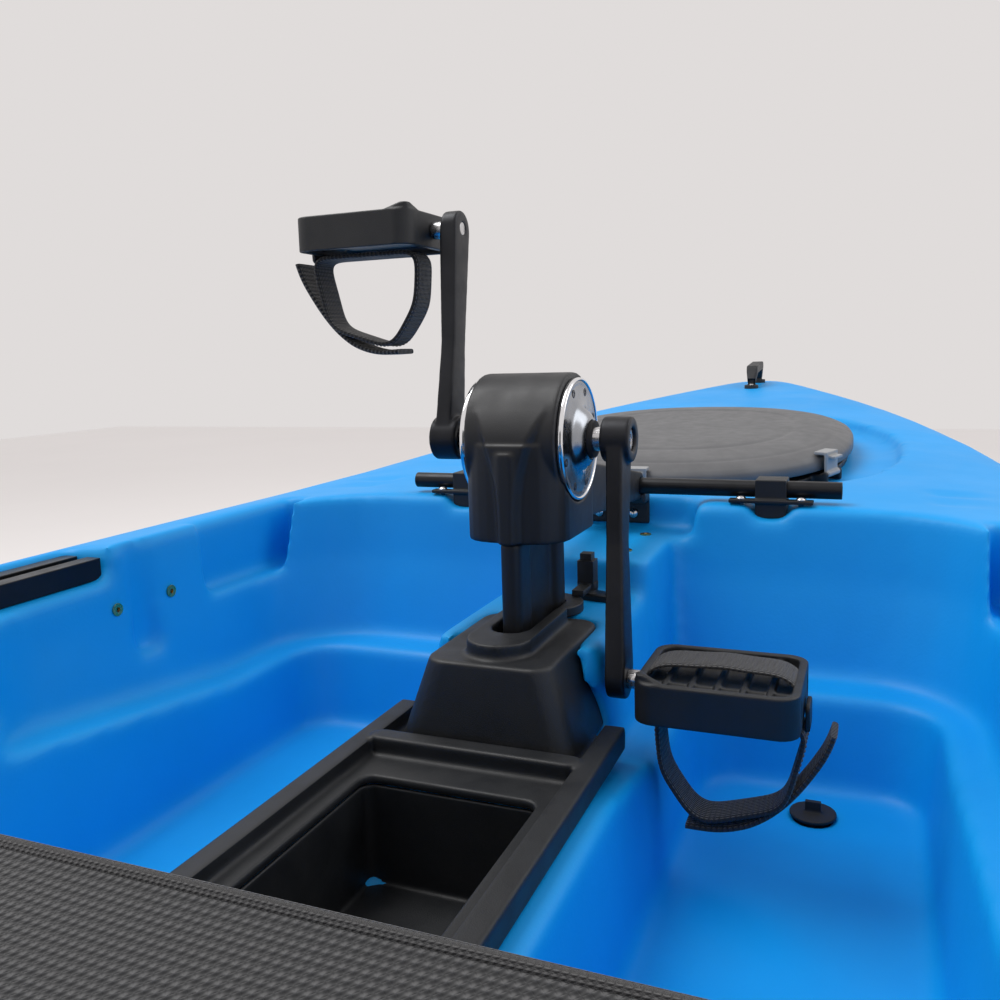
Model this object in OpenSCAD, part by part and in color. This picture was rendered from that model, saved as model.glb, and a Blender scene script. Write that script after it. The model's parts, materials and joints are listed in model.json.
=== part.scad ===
// Pedal boat: a sit-on-top kayak with a pedal-driven propeller unit.
// Millimetres. +X runs to the bow, +Y to port, +Z up. The origin is on the
// underside of the hull at mid-length. The crank axle crosses above the cockpit.

/* [Hull] */
// Length of the hull from stern to bow
hull_length = 3600; // [3000:10:4320]
// Greatest width of the hull
hull_beam = 850; // [740:5:1020]
// Height of the deck beside the cockpit above the keel
hull_depth = 350; // [350:1:420]
// Thickness of the moulded hull skin
skin = 6; // [5:0.5:7]
// Half width of the cockpit rim
cockpit_half = 340; // [290:1:400]
// Height of the foot pans above the keel
pan_z = 125; // [105:1:150]

/* [Drive] */
// Distance of the crank axle ahead of mid-length
crank_x = 250; // [250:1:260]
// Height of the crank axle above the keel
crank_z = 430; // [430:1:516]
// Crank arm length from axle to pedal spindle
crank_len = 172.5; // [145:0.5:190]
// Angle of the port crank arm ahead of vertical
crank_tilt = 14.6; // [0:0.1:30]
// Diameter of the crank axle
axle_d = 18; // [15:0.5:21.5]
// Diameter of the polished side discs
disc_d = 92; // [88:1:94]
// Depth of the propeller shaft below the crank axle
leg_drop = 580; // [560:1:690]
// Diameter of the upright drive shaft
shaft_d = 12; // [10:0.5:14]
// Diameter of the propeller shaft
prop_shaft_d = 12; // [10:0.5:14]
// Diameter of the propeller
prop_d = 250; // [210:1:270]

/* [Pedals] */
// Length of each pedal across the boat
pedal_w = 107; // [90:1:128]
// Size of each pedal fore and aft
pedal_l = 92; // [80:1:112]
// Height of each pedal body
pedal_h = 28; // [24:1:33]
// Diameter of the pedal spindle
spindle_d = 10; // [8.5:0.5:12]

/* [Deck gear] */
// Diameter of the cross bar that carries the drive
bar_d = 16; // [13.5:0.5:18]
// Half spacing of the cross bar clips
clip_y = 155; // [140:1:165]
// Width of the slotted gear rails
rail_w = 40; // [34:1:44]

/* [Seat] */
// Width of the seat between the side tubes
seat_w = 470; // [400:1:500]
// Depth of the seat from front to back
seat_d = 400; // [340:1:430]
// Height of the backrest above the seat tubes
back_h = 430; // [360:1:510]
// Diameter of the seat tubes
tube_d = 22; // [19:0.5:25]

/* [Rudder] */
// Length of the rudder blade below its pivot
rudder_len = 330; // [280:1:390]
// Thickness of the rudder blade
rudder_t = 10; // [8:0.5:12]
// Diameter of the upright rudder pin
rudder_pin_d = 10; // [8.5:0.5:12]

/* [View] */

/* [Hidden] */
$fn = 48;
eps = 0.3;
hl = hull_length / 2;
hb = hull_beam / 2;
kz = hull_depth / 350;
deck = hull_depth;
bow0 = 520;
hatch_x = bow0 + (hl - bow0) * 0.2656;
hatch_a = (hl - bow0) * 0.2227;
hatch_b = hatch_a * 0.76;
hatch_t = 3.3;
hatch_z = deck + 16;
bar_x = crank_x + 228;
bar_z = deck + 12;
shelf_z = deck - 34;
mound_z = deck - 65;
ledge_z = deck - 105;
ledge_f = deck - 147;
floor_b = deck - 132;
seat_z = deck - 165;
well_x0 = crank_x - 150;
col_x = crank_x + 36;
col_r = 12;
prop_z = crank_z - leg_drop;
disc_r = disc_d / 2;
disc_y = 39.5;
boss_y = 68.8;
arm_y = 78.5;
axle_r = axle_d / 2;
sp_r = spindle_d / 2;
bar_r = bar_d / 2;
tube_r = tube_d / 2;
head_bot = crank_z - 72;
stern_x = -hl;

// Hull lines: fractions of half length against size
T_B = [[-1, 0.20], [-0.94, 0.34], [-0.85, 0.51], [-0.7, 0.71], [-0.5, 0.88],
  [-0.3, 0.965], [-0.1, 1], [0.25, 1], [0.39, 0.965], [0.53, 0.885],
  [0.667, 0.74], [0.78, 0.56], [0.89, 0.33], [0.95, 0.19], [0.985, 0.09],
  [1, 0.035]];
T_K = [[-1, 150], [-0.95, 84], [-0.9, 42], [-0.8, 9], [-0.68, 0], [-0.3, 0],
  [0.4, 0], [0.68, 0], [0.8, 14], [0.89, 52], [0.95, 112], [0.985, 190],
  [1, 262]];
T_S = [[-1, 318], [-0.8, 313], [-0.4, 318], [0, 322], [0.33, 323],
  [0.47, 328], [0.61, 338], [0.69, 349], [0.8, 366], [0.89, 384],
  [0.97, 400], [1, 404]];
T_T = [[-1, 340], [-0.8, 340], [-0.4, 347], [0, 350], [0.28, 350],
  [0.36, 354], [0.47, 366], [0.61, 380], [0.69, 389], [0.8, 402],
  [0.89, 412], [0.97, 419], [1, 414]];
function sgn(v) = v < 0 ? -1 : 1;
function ix(x, t, i = 0) = (i >= len(t) - 2 || x < t[i + 1][0]) ? i : ix(x, t, i + 1);
function dt(t, i) = let (a = max(0, i - 1), b = min(len(t) - 1, i + 1))
  (t[b][1] - t[a][1]) / (t[b][0] - t[a][0]);
function sm(x, t) = let (i = ix(x, t), h = t[i + 1][0] - t[i][0],
  s = (x - t[i][0]) / h, q = s * s, c = q * s)
  (2 * c - 3 * q + 1) * t[i][1] + (c - 2 * q + s) * h * dt(t, i)
  + (3 * q - 2 * c) * t[i + 1][1] + (c - q) * h * dt(t, i + 1);
function half_beam(u) = hb * sm(u, T_B);
function keel(u) = kz * max(0, sm(u, T_K));
function sheer(u) = kz * sm(u, T_S);
function top(u) = kz * sm(u, T_T);
function sect(u, w, n) = let (b = max(4, half_beam(u) - w), s = sheer(u),
  t = top(u) - w, k = keel(u) + w)
  [for (i = [0:n - 1]) let (a = 360 * i / n, c = cos(a), d = sin(a))
    [u * hl, b * sgn(c) * pow(abs(c), d >= 0 ? 2 / 3.6 : 2 / 2.7),
      d >= 0 ? s + (t - s) * pow(abs(d), 2 / 3.6)
        : s - (s - k) * pow(abs(d), 2 / 2.7)]];
U_OUT = [-1, -0.985, -0.96, -0.92, -0.87, -0.8, -0.72, -0.63, -0.53, -0.42,
  -0.3, -0.15, 0, 0.15, 0.28, 0.37, 0.46, 0.54, 0.61, 0.67, 0.73, 0.79, 0.84,
  0.885, 0.92, 0.945, 0.965, 0.98, 0.992, 1];
U_IN = [-0.985, -0.93, -0.86, -0.77, -0.66, -0.53, -0.38, -0.15, 0.1, 0.28,
  0.42, 0.54, 0.64, 0.73, 0.8, 0.86, 0.905, 0.935, 0.955];
module loft(us, w, n) {
  m = len(us);
  pts = [for (u = us) each sect(u, w, n)];
  sides = [for (i = [0:m - 2]) for (j = [0:n - 1]) let (k = (j + 1) % n)
    each [[i * n + j, (i + 1) * n + j, (i + 1) * n + k],
      [i * n + j, (i + 1) * n + k, i * n + k]]];
  polyhedron(points = pts, faces = concat([[for (j = [0:n - 1]) j]],
    [[for (j = [n - 1:-1:0]) (m - 1) * n + j]], sides));
}

// Rounded rectangle centred on x0..x1
module rr(x0, x1, h, r) {
  hull() for (x = [x0 + r, x1 - r]) for (y = [-h + r, h - r])
    translate([x, y]) circle(r = r, $fn = 20);
}
module slab(z) {
  translate([0, 0, z]) linear_extrude(height = 0.5) children();
}
module oval(a, b) {
  n = 48;
  polygon([for (i = [0:n - 1]) let (t = 360 * i / n, c = cos(t), s = sin(t))
    [a * sgn(c) * pow(abs(c), 2 / 2.3), b * sgn(s) * pow(abs(s), 2 / 2.3)]]);
}
module at_hatch() {
  translate([hatch_x, 0, hatch_z]) rotate([0, -hatch_t, 0]) children();
}
// Shape of the console tower, grown by g
module tower_form(g) {
  hull() {
    slab(mound_z - 0.5 + g) rr(crank_x - 107 - g, crank_x + 20 + g, 46 + g, 16);
    slab(floor_b + 6) rr(crank_x - 116 - g, crank_x + 25 + g, 66 + g, 16);
  }
}
module mound_form(g) {
  hull() {
    slab(mound_z - 0.5 - g) rr(crank_x - 55 + g, crank_x + 160, 64 - g, 14);
    slab(pan_z - 20) rr(crank_x - 62 + g, crank_x + 180, 84 - g, 14);
  }
  hull() {
    slab(shelf_z - 0.5 - g) rr(crank_x + 98 + g, bar_x + 80, 66 - g, 14);
    slab(pan_z - 20) rr(crank_x + 90 + g, bar_x + 80, 82 - g, 14);
  }
}
// Space cut out of the hull, grown by g to leave the skin
module cuts(g) {
  fx = bar_x - 23;
  difference() {
    union() {
      hull() {
        slab(deck + 60) rr(-20, fx + 14 + g, cockpit_half + 12 + g, 110);
        slab(ledge_z + 40 - g) rr(-20, fx - 12 + g, cockpit_half + g, 100);
        translate([fx - 38 + g - 100, 0, ledge_f - g]) for (y = [-1, 1])
          translate([0, y * (cockpit_half - 12 + g - 100), 0]) cylinder(r = 100, h = 1);
        translate([60, 0, ledge_z - 14 - g]) for (y = [-1, 1])
          translate([0, y * (cockpit_half - 12 + g - 60), 0]) cylinder(r = 60, h = 1);
      }
      hull() {
        slab(deck + 60) rr(-645 - g, 120, cockpit_half - 4 + g, 70);
        slab(ledge_z - g) rr(-630 - g, 100, cockpit_half - 14 + g, 60);
      }
      hull() {
        slab(deck + 60) rr(bar_x - 80, bar_x + 27 + g, 90 + g, 24);
        slab(shelf_z - 0.5 - g) rr(bar_x - 80, bar_x + 22 + g, 84 + g, 20);
      }
    }
    mound_form(g);
  }
  // seat well
  hull() {
    slab(ledge_z + 1) rr(-600 - g, -190 + g, 272 + g, 50);
    slab(seat_z - g) rr(-585 - g, -200 + g, 255 + g, 40);
  }
  // foot pans
  for (s = [-1, 1]) translate([0, s * 200, 0]) hull() {
    slab(ledge_z + 5) rr(-165 - g, bar_x - 88 + g, 103 + g, 45);
    slab(pan_z - g) rr(-148 - g, bar_x - 118 + g, 87 + g, 36);
  }
  // space in the middle between the pans, above the console seat
  slab3(floor_b - g, ledge_z + 6 + g) rr(-190 - g, crank_x - 40 + g, 110 + g, 20);
  // drive well
  slab3(-20, floor_b + 7 + g) rr(well_x0 - g, col_x + 17 + g, 34 + g, 12);
  slab3(floor_b, deck) rr(crank_x - g, col_x + 17 + g, 14.5 + g, 14);
  for (d = [0, g]) translate([0, 0, -d]) tower_form(0.6 + g);
  // bin pocket
  slab3(floor_b - 72 - g, floor_b + 5) rr(-130 - g, well_x0 - 12 + g, 64 + g, 10);
  // tank well
  hull() {
    slab(deck + 60) rr(-hl * 0.78 - g, -790 + g, hb * 0.6 + g, 70);
    slab(seat_z + 5 - g) rr(-hl * 0.76 - g, -805 + g, hb * 0.56 + g, 60);
  }
  // hatch surround and hatch hole
  at_hatch() {
    translate([0, 0, -18 - g]) linear_extrude(height = 90) oval(hatch_a + 45 + g, hatch_b + 56 + g);
  }
  // gear rail steps
  for (s = [0, 1]) mirror([0, s, 0]) translate([-560 - g, cockpit_half - 10, deck - 32 - g])
    cube([crank_x + 473 + 2 * g, rail_w + 22 + g, 80 + g]);
  // grooves for the cross bar
  for (s = [-1, 1]) hull() for (y = [80, clip_y + 62 + g]) translate([bar_x, s * y, bar_z + 6])
    sphere(r = bar_r + 8 + g, $fn = 20);
  // clip notches in the rim
  for (s = [-1, 1]) translate([bar_x - 45, s * clip_y - 17 - g, deck - 14 - g])
    cube([62 + g, 34 + 2 * g, 80]);
  // shallow deck pockets
  for (s = [-1, 1]) for (x = [bar_x + 42, bar_x + 92])
    translate([x, s * (cockpit_half - 22), deck - 5 - g])
      linear_extrude(height = 60) rr(-14 - g, 14 + g, 26 + g, 4);
  // upright channels and long recesses in the side walls
  for (s = [-1, 1]) translate([crank_x - 57, s * (cockpit_half - 6), ledge_z + 1 - g])
    linear_extrude(height = 160) rr(-15 - g, 15 + g, 14 + g, 6);
  for (s = [-1, 1]) translate([crank_x + 105, s * (cockpit_half + 4), ledge_z + 30 - g])
    linear_extrude(height = 160) rr(-78 - g, 78 + g, 12 + g, 8);
}
module slab3(z0, z1) {
  translate([0, 0, z0]) linear_extrude(height = z1 - z0) children();
}
scuppers = [[-110, 200], [bar_x - 160, 205], [-540, 170], [-840, 150]];
module hull_shell() {
  color([0.0, 0.47, 0.86])
  resize([hull_length, 0, 0]) difference() {
    loft(U_OUT, 0, 40);
    cuts(0);
    difference() {
      loft(U_IN, skin, 24);
      cuts(skin);
      for (p = scuppers) for (s = [-1, 1]) translate([p[0], s * p[1], -5])
        cylinder(r = 15 + skin, h = 300, $fn = 12);
      // pillars under the deck hardware
      for (s = [-1, 1]) translate([bar_x, s * (clip_y + 30), 100]) cylinder(r = 12, h = 240, $fn = 12);
    }
    for (p = scuppers) for (s = [-1, 1]) translate([p[0], s * p[1], -5])
      cylinder(r = 15, h = 300, $fn = 12);
    at_hatch() translate([0, 0, -60]) linear_extrude(height = 80) oval(hatch_a - 32, hatch_b - 32);
    insert_places() translate([0, 0, -12]) cylinder(r = 4, h = 13, $fn = 12);
    // drain hole
    translate([stern_x + 70, 0, top(-0.96) - 30]) cylinder(r = 10, h = 60, $fn = 20);
  }
}
module insert_places() {
  for (s = [-1, 1]) for (x = [crank_x + 136, crank_x + 212])
    translate([x, s * 38, shelf_z]) children();
  for (s = [-1, 1]) for (x = [crank_x - 88, crank_x - 24])
    translate([x, s * (cockpit_half + 0.5), deck - 58]) rotate([s * 90, 0, 0]) children();
}

// ---- bow hatch
module hatch_ring() {
  color([0.12, 0.12, 0.13]) at_hatch() {
    difference() {
      union() {
        translate([0, 0, -17.9]) linear_extrude(height = 8) oval(hatch_a - 6, hatch_b - 6);
        translate([0, 0, -17.9]) linear_extrude(height = 21.9) oval(hatch_a - 22, hatch_b - 22);
        for (s = [-1, 1]) for (e = [-1, 1]) translate([hatch_a - 26, s * 60 + e * 14 - 4, -17.9])
          cube([44, 8, 7.9]);
        for (s = [-1, 1]) for (e = [-1, 1]) translate([hatch_a + 11, s * 60 + e * 14 - 4, 2])
          rotate([-90, 0, 0]) cylinder(r = 6.5, h = 8);
        for (s = [-1, 1]) for (e = [-1, 1]) translate([hatch_a + 4.5, s * 60 + e * 14 - 4, -17])
          cube([13, 8, 19]);
        latch_places() for (e = [-1, 1]) translate([-16, e * 17 - 2.5, -17.9])
          cube([27, 5, 11]);
        latch_places() for (e = [-1, 1]) translate([8, e * 17 - 2.5, -7]) rotate([-90, 0, 0])
          cylinder(r = 3.4, h = 5);
      }
      translate([0, 0, -30]) linear_extrude(height = 60) oval(hatch_a - 31, hatch_b - 31);
      for (s = [-1, 1]) translate([hatch_a + 11, s * 60, 2]) rotate([90, 0, 0])
        cylinder(r = 3, h = 60, center = true);
      latch_places() translate([8, 0, -7]) rotate([90, 0, 0]) cylinder(r = 1.8, h = 60, center = true);
    }
  }
}
module hatch_gasket() {
  color([0.05, 0.05, 0.05]) at_hatch() translate([0, 0, 4.1]) linear_extrude(height = 6)
    difference() {
      oval(hatch_a - 23, hatch_b - 23);
      oval(hatch_a - 30, hatch_b - 30);
    }
}
module hatch_lid() {
  color([0.33, 0.34, 0.35]) at_hatch() {
    difference() {
      union() {
        hull() {
          slab(-4) oval(hatch_a, hatch_b);
          slab(9) oval(hatch_a, hatch_b);
          slab(17) oval(hatch_a - 16, hatch_b - 16);
          slab(23) oval(hatch_a - 75, hatch_b - 70);
        }
        for (s = [-1, 1]) translate([hatch_a - 14, s * 60 - 9, -3]) cube([25, 18, 8]);
        for (s = [-1, 1]) translate([hatch_a + 11, s * 60 - 9, 2]) rotate([-90, 0, 0])
          cylinder(r = 6, h = 18);
      }
      hull() {
        slab(-5) oval(hatch_a - 4, hatch_b - 4);
        slab(7) oval(hatch_a - 5, hatch_b - 5);
        slab(13) oval(hatch_a - 20, hatch_b - 20);
        slab(18.5) oval(hatch_a - 80, hatch_b - 75);
      }
      for (s = [-1, 1]) translate([hatch_a + 11, s * 60, 2]) rotate([90, 0, 0])
        cylinder(r = 3.06, h = 60, center = true);
    }
  }
}
module hatch_pins() {
  color([0.8, 0.8, 0.82]) at_hatch() for (s = [-1, 1]) translate([hatch_a + 11, s * 60 - 19, 2])
    rotate([-90, 0, 0]) cylinder(r = 3, h = 38);
}
// latch frames: local +X points away from the lid
latch_t = 120;
function so(t, a, b) = let (c = cos(t), s = sin(t))
  [a * sgn(c) * pow(abs(c), 2 / 2.3), b * sgn(s) * pow(abs(s), 2 / 2.3)];
function sn(t, a, b) = let (p = so(t, a, b))
  atan2(sgn(p[1]) * pow(abs(p[1]), 1.3) / pow(b, 2.3), sgn(p[0]) * pow(abs(p[0]), 1.3) / pow(a, 2.3));
module latch_at(t) {
  p = so(t, hatch_a, hatch_b);
  translate([p[0], p[1], 0]) rotate([0, 0, sn(t, hatch_a, hatch_b)]) children();
}
module latch_places() {
  latch_at(180) children();
  latch_at(latch_t) children();
  latch_at(-latch_t) children();
}
module latch_form() {
  translate([8, -14, -7]) rotate([-90, 0, 0]) cylinder(r = 3.6, h = 28);
  translate([4.4, -14, -7]) cube([3.6, 28, 25.2]);
  translate([-8, -14, 14.6]) cube([16, 28, 3.6]);
  translate([4.4, -10, 10]) cube([11, 20, 3.6]);
  translate([8, 0, -7]) rotate([90, 0, 0]) cylinder(r = 1.75, h = 38.6, center = true);
}
module latch_aft() { color([0.55, 0.56, 0.57]) at_hatch() latch_at(180) latch_form(); }
module latch_port() { color([0.55, 0.56, 0.57]) at_hatch() latch_at(latch_t) latch_form(); }
module latch_starboard() { color([0.55, 0.56, 0.57]) at_hatch() latch_at(-latch_t) latch_form(); }

// ---- rails, inserts and fasteners
rail_y = cockpit_half + 32;
rail_x0 = -555;
rail_x1 = crank_x - 90;
rail_n = 5;
function rail_x(i) = rail_x0 + 40 + i * (rail_x1 - rail_x0 - 80) / (rail_n - 1);
module rail_form() {
  h = rail_w / 2;
  difference() {
    translate([rail_x0, 0, deck - 31.9]) rotate([90, 0, 90]) linear_extrude(height = rail_x1 - rail_x0)
      polygon([[-h, 0], [h, 0], [h, 18], [h * 0.27, 18], [h * 0.27, 14], [h * 0.72, 14],
        [h * 0.72, 5], [-h * 0.72, 5], [-h * 0.72, 14], [-h * 0.27, 14], [-h * 0.27, 18], [-h, 18]]);
    for (i = [0:rail_n - 1]) translate([rail_x(i), 0, deck - 40]) cylinder(r = 2.1, h = 20);
  }
}
module gear_rail_port() { color([0.1, 0.1, 0.11]) translate([0, rail_y, 0]) rail_form(); }
module gear_rail_starboard() { color([0.1, 0.1, 0.11]) translate([0, -rail_y, 0]) rail_form(); }
module rail_screws() {
  color([0.78, 0.78, 0.8]) for (s = [-1, 1]) for (i = [0:rail_n - 1])
    translate([rail_x(i), s * rail_y, deck - 41]) {
      cylinder(r = 2, h = 15);
      translate([0, 0, 14.1]) cylinder(r1 = 4.2, r2 = 3.2, h = 2.4);
    }
}
module brass_inserts() {
  color([0.72, 0.57, 0.28]) insert_places() difference() {
    union() {
      translate([0, 0, -11]) cylinder(r = 3.8, h = 11.4);
      translate([0, 0, 0.1]) cylinder(r = 5.4, h = 1.1);
    }
    translate([0, 0, -9]) cylinder(r = 2.1, h = 12);
  }
}

// ---- cross bar, clips and dock
module cross_bar() {
  color([0.14, 0.14, 0.15]) translate([bar_x, 0, bar_z]) rotate([90, 0, 0]) difference() {
    cylinder(r = bar_r, h = 2 * clip_y + 124, center = true);
    cylinder(r = bar_r - 2, h = 2 * clip_y + 130, center = true);
  }
}
module clip_form() {
  difference() {
    union() {
      translate([bar_x - 14, -14, deck - 13.8]) cube([30, 28, 36]);
      translate([bar_x - 17, -38, deck + 0.2]) cube([11, 76, 3.8]);
    }
    translate([bar_x, 0, bar_z]) rotate([90, 0, 0]) cylinder(r = bar_r + 0.05, h = 90, center = true);
    for (s = [-1, 1]) translate([bar_x - 11.5, s * 27, deck - 5]) cylinder(r = 2.3, h = 20);
  }
}
module bar_clip_port() { color([0.06, 0.06, 0.07]) translate([0, clip_y, 0]) clip_form(); }
module bar_clip_starboard() { color([0.06, 0.06, 0.07]) translate([0, -clip_y, 0]) clip_form(); }
module dome_screw() {
  translate([0, 0, -9]) cylinder(r = 2.2, h = 9.5);
  intersection() {
    translate([0, 0, -3]) sphere(r = 6, $fn = 24);
    translate([0, 0, 0.1]) cylinder(r = 6, h = 6);
  }
}
module dome_screws() {
  color([0.85, 0.85, 0.86]) {
    for (s = [-1, 1]) for (e = [-1, 1])
      translate([bar_x - 11.5, s * clip_y + e * 27, deck + 4]) dome_screw();
    for (s = [-1, 1]) translate([bar_x + 15.9, s * 18, shelf_z + 15]) rotate([0, -90, 0]) dome_screw();
    translate([lock_x - 5, lock_y - 22, mound_z + 5.2]) dome_screw();
    for (e = [-1, 1]) for (b = [-1, 1]) translate([b * (hl - 165) + e * 62, 0,
      top(b * (hl - 165) / hl + e * 62 / hl) + 7]) dome_screw();
  }
}
module dock_bracket() {
  color([0.05, 0.05, 0.06]) difference() {
    union() {
      difference() {
        hull() {
          translate([bar_x, 0, bar_z]) rotate([90, 0, 0]) cylinder(r = 13.5, h = 60, center = true);
          translate([crank_x + 50.2, -30, head_bot + 4]) cube([5, 60, 44]);
          translate([crank_x + 110, -30, bar_z + 30]) cube([5, 60, 3]);
        }
        translate([crank_x + 60, -24, head_bot - 20]) cube([bar_x - crank_x - 76, 48, 62]);
      }
      translate([bar_x, -34, shelf_z + 5]) cube([21, 68, bar_z - shelf_z - 5]);
    }
    translate([bar_x, 0, bar_z]) rotate([90, 0, 0]) cylinder(r = bar_r + 0.05, h = 90, center = true);
    translate([bar_x - 8, -36, shelf_z + 2]) cube([24, 72, 26]);
    for (s = [-1, 1]) translate([bar_x, s * 18, shelf_z + 15]) rotate([0, 90, 0]) cylinder(r = 2.3, h = 40);
  }
}

// ---- console over the drive well
leg_x0 = crank_x - 54;
module leg_slot(r) {
  hull() {
    translate([leg_x0 + 2, 0]) circle(r = r);
    translate([crank_x + 60, -r]) square([10, 2 * r]);
  }
}
module console() {
  color([0.08, 0.08, 0.09]) difference() {
    union() {
      difference() {
        tower_form(0);
        hull() {
          slab(mound_z - 5) rr(crank_x - 103, crank_x + 16, 42, 12);
          slab(floor_b + 5.8) rr(crank_x - 112, crank_x + 21, 62, 12);
        }
      }
      difference() {
        translate([0, 0, floor_b + 0.3]) linear_extrude(height = 6.2) difference() {
          rr(-150, crank_x - 61, 88, 4);
          rr(-126, crank_x - 166, 60, 8);
          rr(crank_x - 112, crank_x + 21, 62, 12);
        }
      }
      for (s = [-1, 1]) translate([-150, s * 80.5 - 7.5, floor_b + 6])
        cube([crank_x + 88, 15, 11]);
      hull() for (y = [-67, 67]) translate([crank_x - 129, y, floor_b + 6]) cylinder(r = 8, h = 13);
      translate([0, 0, mound_z - 3]) linear_extrude(height = 14) hull() {
        translate([crank_x - 74, 0]) circle(r = 24);
        translate([crank_x - 10, -24]) square([17, 48]);
      }
    }
    translate([0, 0, floor_b - 10]) linear_extrude(height = 140) leg_slot(14);
  }
}
module console_tray() {
  color([0.05, 0.05, 0.06]) difference() {
    translate([0, 0, floor_b - 71.5]) linear_extrude(height = 71) rr(-129.5, well_x0 - 12.5, 63.5, 9);
    translate([0, 0, floor_b - 68.5]) linear_extrude(height = 90) rr(-126.5, well_x0 - 15.5, 60.5, 7);
  }
}
module column_collar() {
  color([0.07, 0.07, 0.08]) translate([col_x, 0, mound_z + 0.2]) difference() {
    cylinder(r = 27, h = 8);
    translate([0, 0, -1]) cylinder(r = col_r + 0.4, h = 20);
    translate([-60, -12.5, -1]) cube([60, 25, 20]);
  }
}
lock_x = crank_x + 82;
lock_y = -18;
module lock_base() {
  color([0.06, 0.06, 0.07]) translate([lock_x, lock_y, mound_z + 0.2]) difference() {
    union() {
      linear_extrude(height = 5) hull() {
        circle(r = 10);
        translate([-5, -22]) circle(r = 8);
      }
      cylinder(r = 8.5, h = 8);
    }
    translate([0, 0, -1]) cylinder(r = 4, h = 30);
    translate([-5, -22, -1]) cylinder(r = 2.3, h = 30);
  }
}
module lock_lever() {
  color([0.05, 0.05, 0.06]) translate([lock_x, lock_y, mound_z + 8.5]) {
    translate([0, 0, -8.2]) cylinder(r = 3.94, h = 12);
    cylinder(r = 9, h = 6);
    translate([-29, -5, 0]) cube([29, 10, 5]);
    translate([-7, -7, 5]) cube([14, 14, 20]);
    translate([-5, -5, 24]) cube([10, 10, 7]);
  }
}

// ---- drive head
module at_crank() {
  translate([crank_x, 0, crank_z]) children();
}
module ycyl(r, y0, y1) {
  translate([0, y0, 0]) rotate([-90, 0, 0]) cylinder(r = r, h = y1 - y0);
}
module gear_housing() {
  color([0.09, 0.09, 0.1]) difference() {
    union() {
      at_crank() ycyl(disc_r + 4, -35, 35);
      translate([0, 0, head_bot]) linear_extrude(height = 72) rr(crank_x - 52, crank_x + 50, 39, 22);
      translate([0, 0, head_bot]) linear_extrude(height = 66) rr(leg_x0, crank_x - 30, 9, 5);
    }
    at_crank() ycyl(disc_r - 6, -50, 50);
    for (e = [0, 1]) mirror([0, e, 0]) at_crank() ycyl(disc_r + 0.8, 35, 60);
    translate([col_x, 0, head_bot - 1]) cylinder(r = shaft_d / 2 + 3.5, h = 87);
  }
}
module disc_form() {
  difference() {
    union() {
      ycyl(disc_r, 35.1, disc_y);
      translate([0, disc_y - 0.2, 0]) rotate([-90, 0, 0]) cylinder(r1 = 24, r2 = 15, h = 9);
    }
    ycyl(axle_r + 5.1, 30, 60);
    for (i = [0:7]) rotate([0, i * 45 + 22.5, 0]) translate([disc_r - 9, 0, 0]) ycyl(2.6, 30, 60);
  }
}
module disc_port() { color([0.8, 0.81, 0.82]) at_crank() disc_form(); }
module disc_starboard() { color([0.8, 0.81, 0.82]) at_crank() mirror([0, 1, 0]) disc_form(); }
module disc_bolts() {
  color([0.2, 0.2, 0.21]) at_crank() for (s = [0, 1]) mirror([0, s, 0])
    for (i = [0:7]) rotate([0, i * 45 + 22.5, 0]) translate([disc_r - 9, 0, 0]) {
      ycyl(2.4, 35.2, 39.6);
      translate([-2, 39.4, -2]) cube([4, 1, 4]);
    }
}
module axle_seals() {
  color([0.04, 0.04, 0.04]) at_crank() for (s = [0, 1]) mirror([0, s, 0]) difference() {
    ycyl(axle_r + 5, 36, 51);
    ycyl(axle_r + 0.05, 30, 60);
  }
}
module crank_bearings() {
  color([0.7, 0.7, 0.72]) at_crank() for (s = [0, 1]) mirror([0, s, 0]) difference() {
    ycyl(disc_r - 6.05, 18, 34);
    ycyl(axle_r + 0.03, 10, 60);
  }
}
module crank_axle() {
  color([0.75, 0.75, 0.77]) at_crank() ycyl(axle_r, -70, 70);
}
module crank_gear() {
  color([0.55, 0.5, 0.42]) at_crank() difference() {
    rotate([-90, 0, 0]) translate([0, 0, -8]) linear_extrude(height = 16)
      polygon([for (i = [0:79])
        let (r = col_x - crank_x - shaft_d / 2 - ((i % 2 == 0) ? 2 : 4))
        [r * cos(i * 4.5), r * sin(i * 4.5)]]);
    ycyl(axle_r, -20, 20);
  }
}
module arm_form() {
  difference() {
    union() {
      ycyl(17, boss_y - 11, boss_y + 11);
      hull() {
        ycyl(16, boss_y - 6, boss_y + 6);
        translate([0, 0, crank_len * 0.45]) ycyl(11, boss_y - 2.5, boss_y + 9);
      }
      hull() {
        translate([0, 0, crank_len * 0.45]) ycyl(11, boss_y - 2.5, boss_y + 9);
        translate([0, 0, crank_len]) ycyl(14.5, arm_y - 7, arm_y + 7);
      }
    }
    ycyl(axle_r, 40, 70.2);
    ycyl(8.5, 71.8, 90);
    translate([0, 0, crank_len]) ycyl(sp_r, 50, 100);
  }
}
module crank_arm_port() {
  color([0.2, 0.2, 0.21]) at_crank() rotate([0, crank_tilt, 0]) arm_form();
}
module crank_arm_starboard() {
  color([0.2, 0.2, 0.21]) at_crank() rotate([0, crank_tilt + 180, 0]) mirror([0, 1, 0]) arm_form();
}
module crank_bolts() {
  color([0.8, 0.8, 0.82]) at_crank() for (s = [0, 1]) mirror([0, s, 0]) difference() {
    ycyl(8, 71.9, 77.5);
    translate([0, 74, 0]) rotate([-90, 0, 0]) cylinder(r = 4.6, h = 10, $fn = 6);
  }
}

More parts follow.
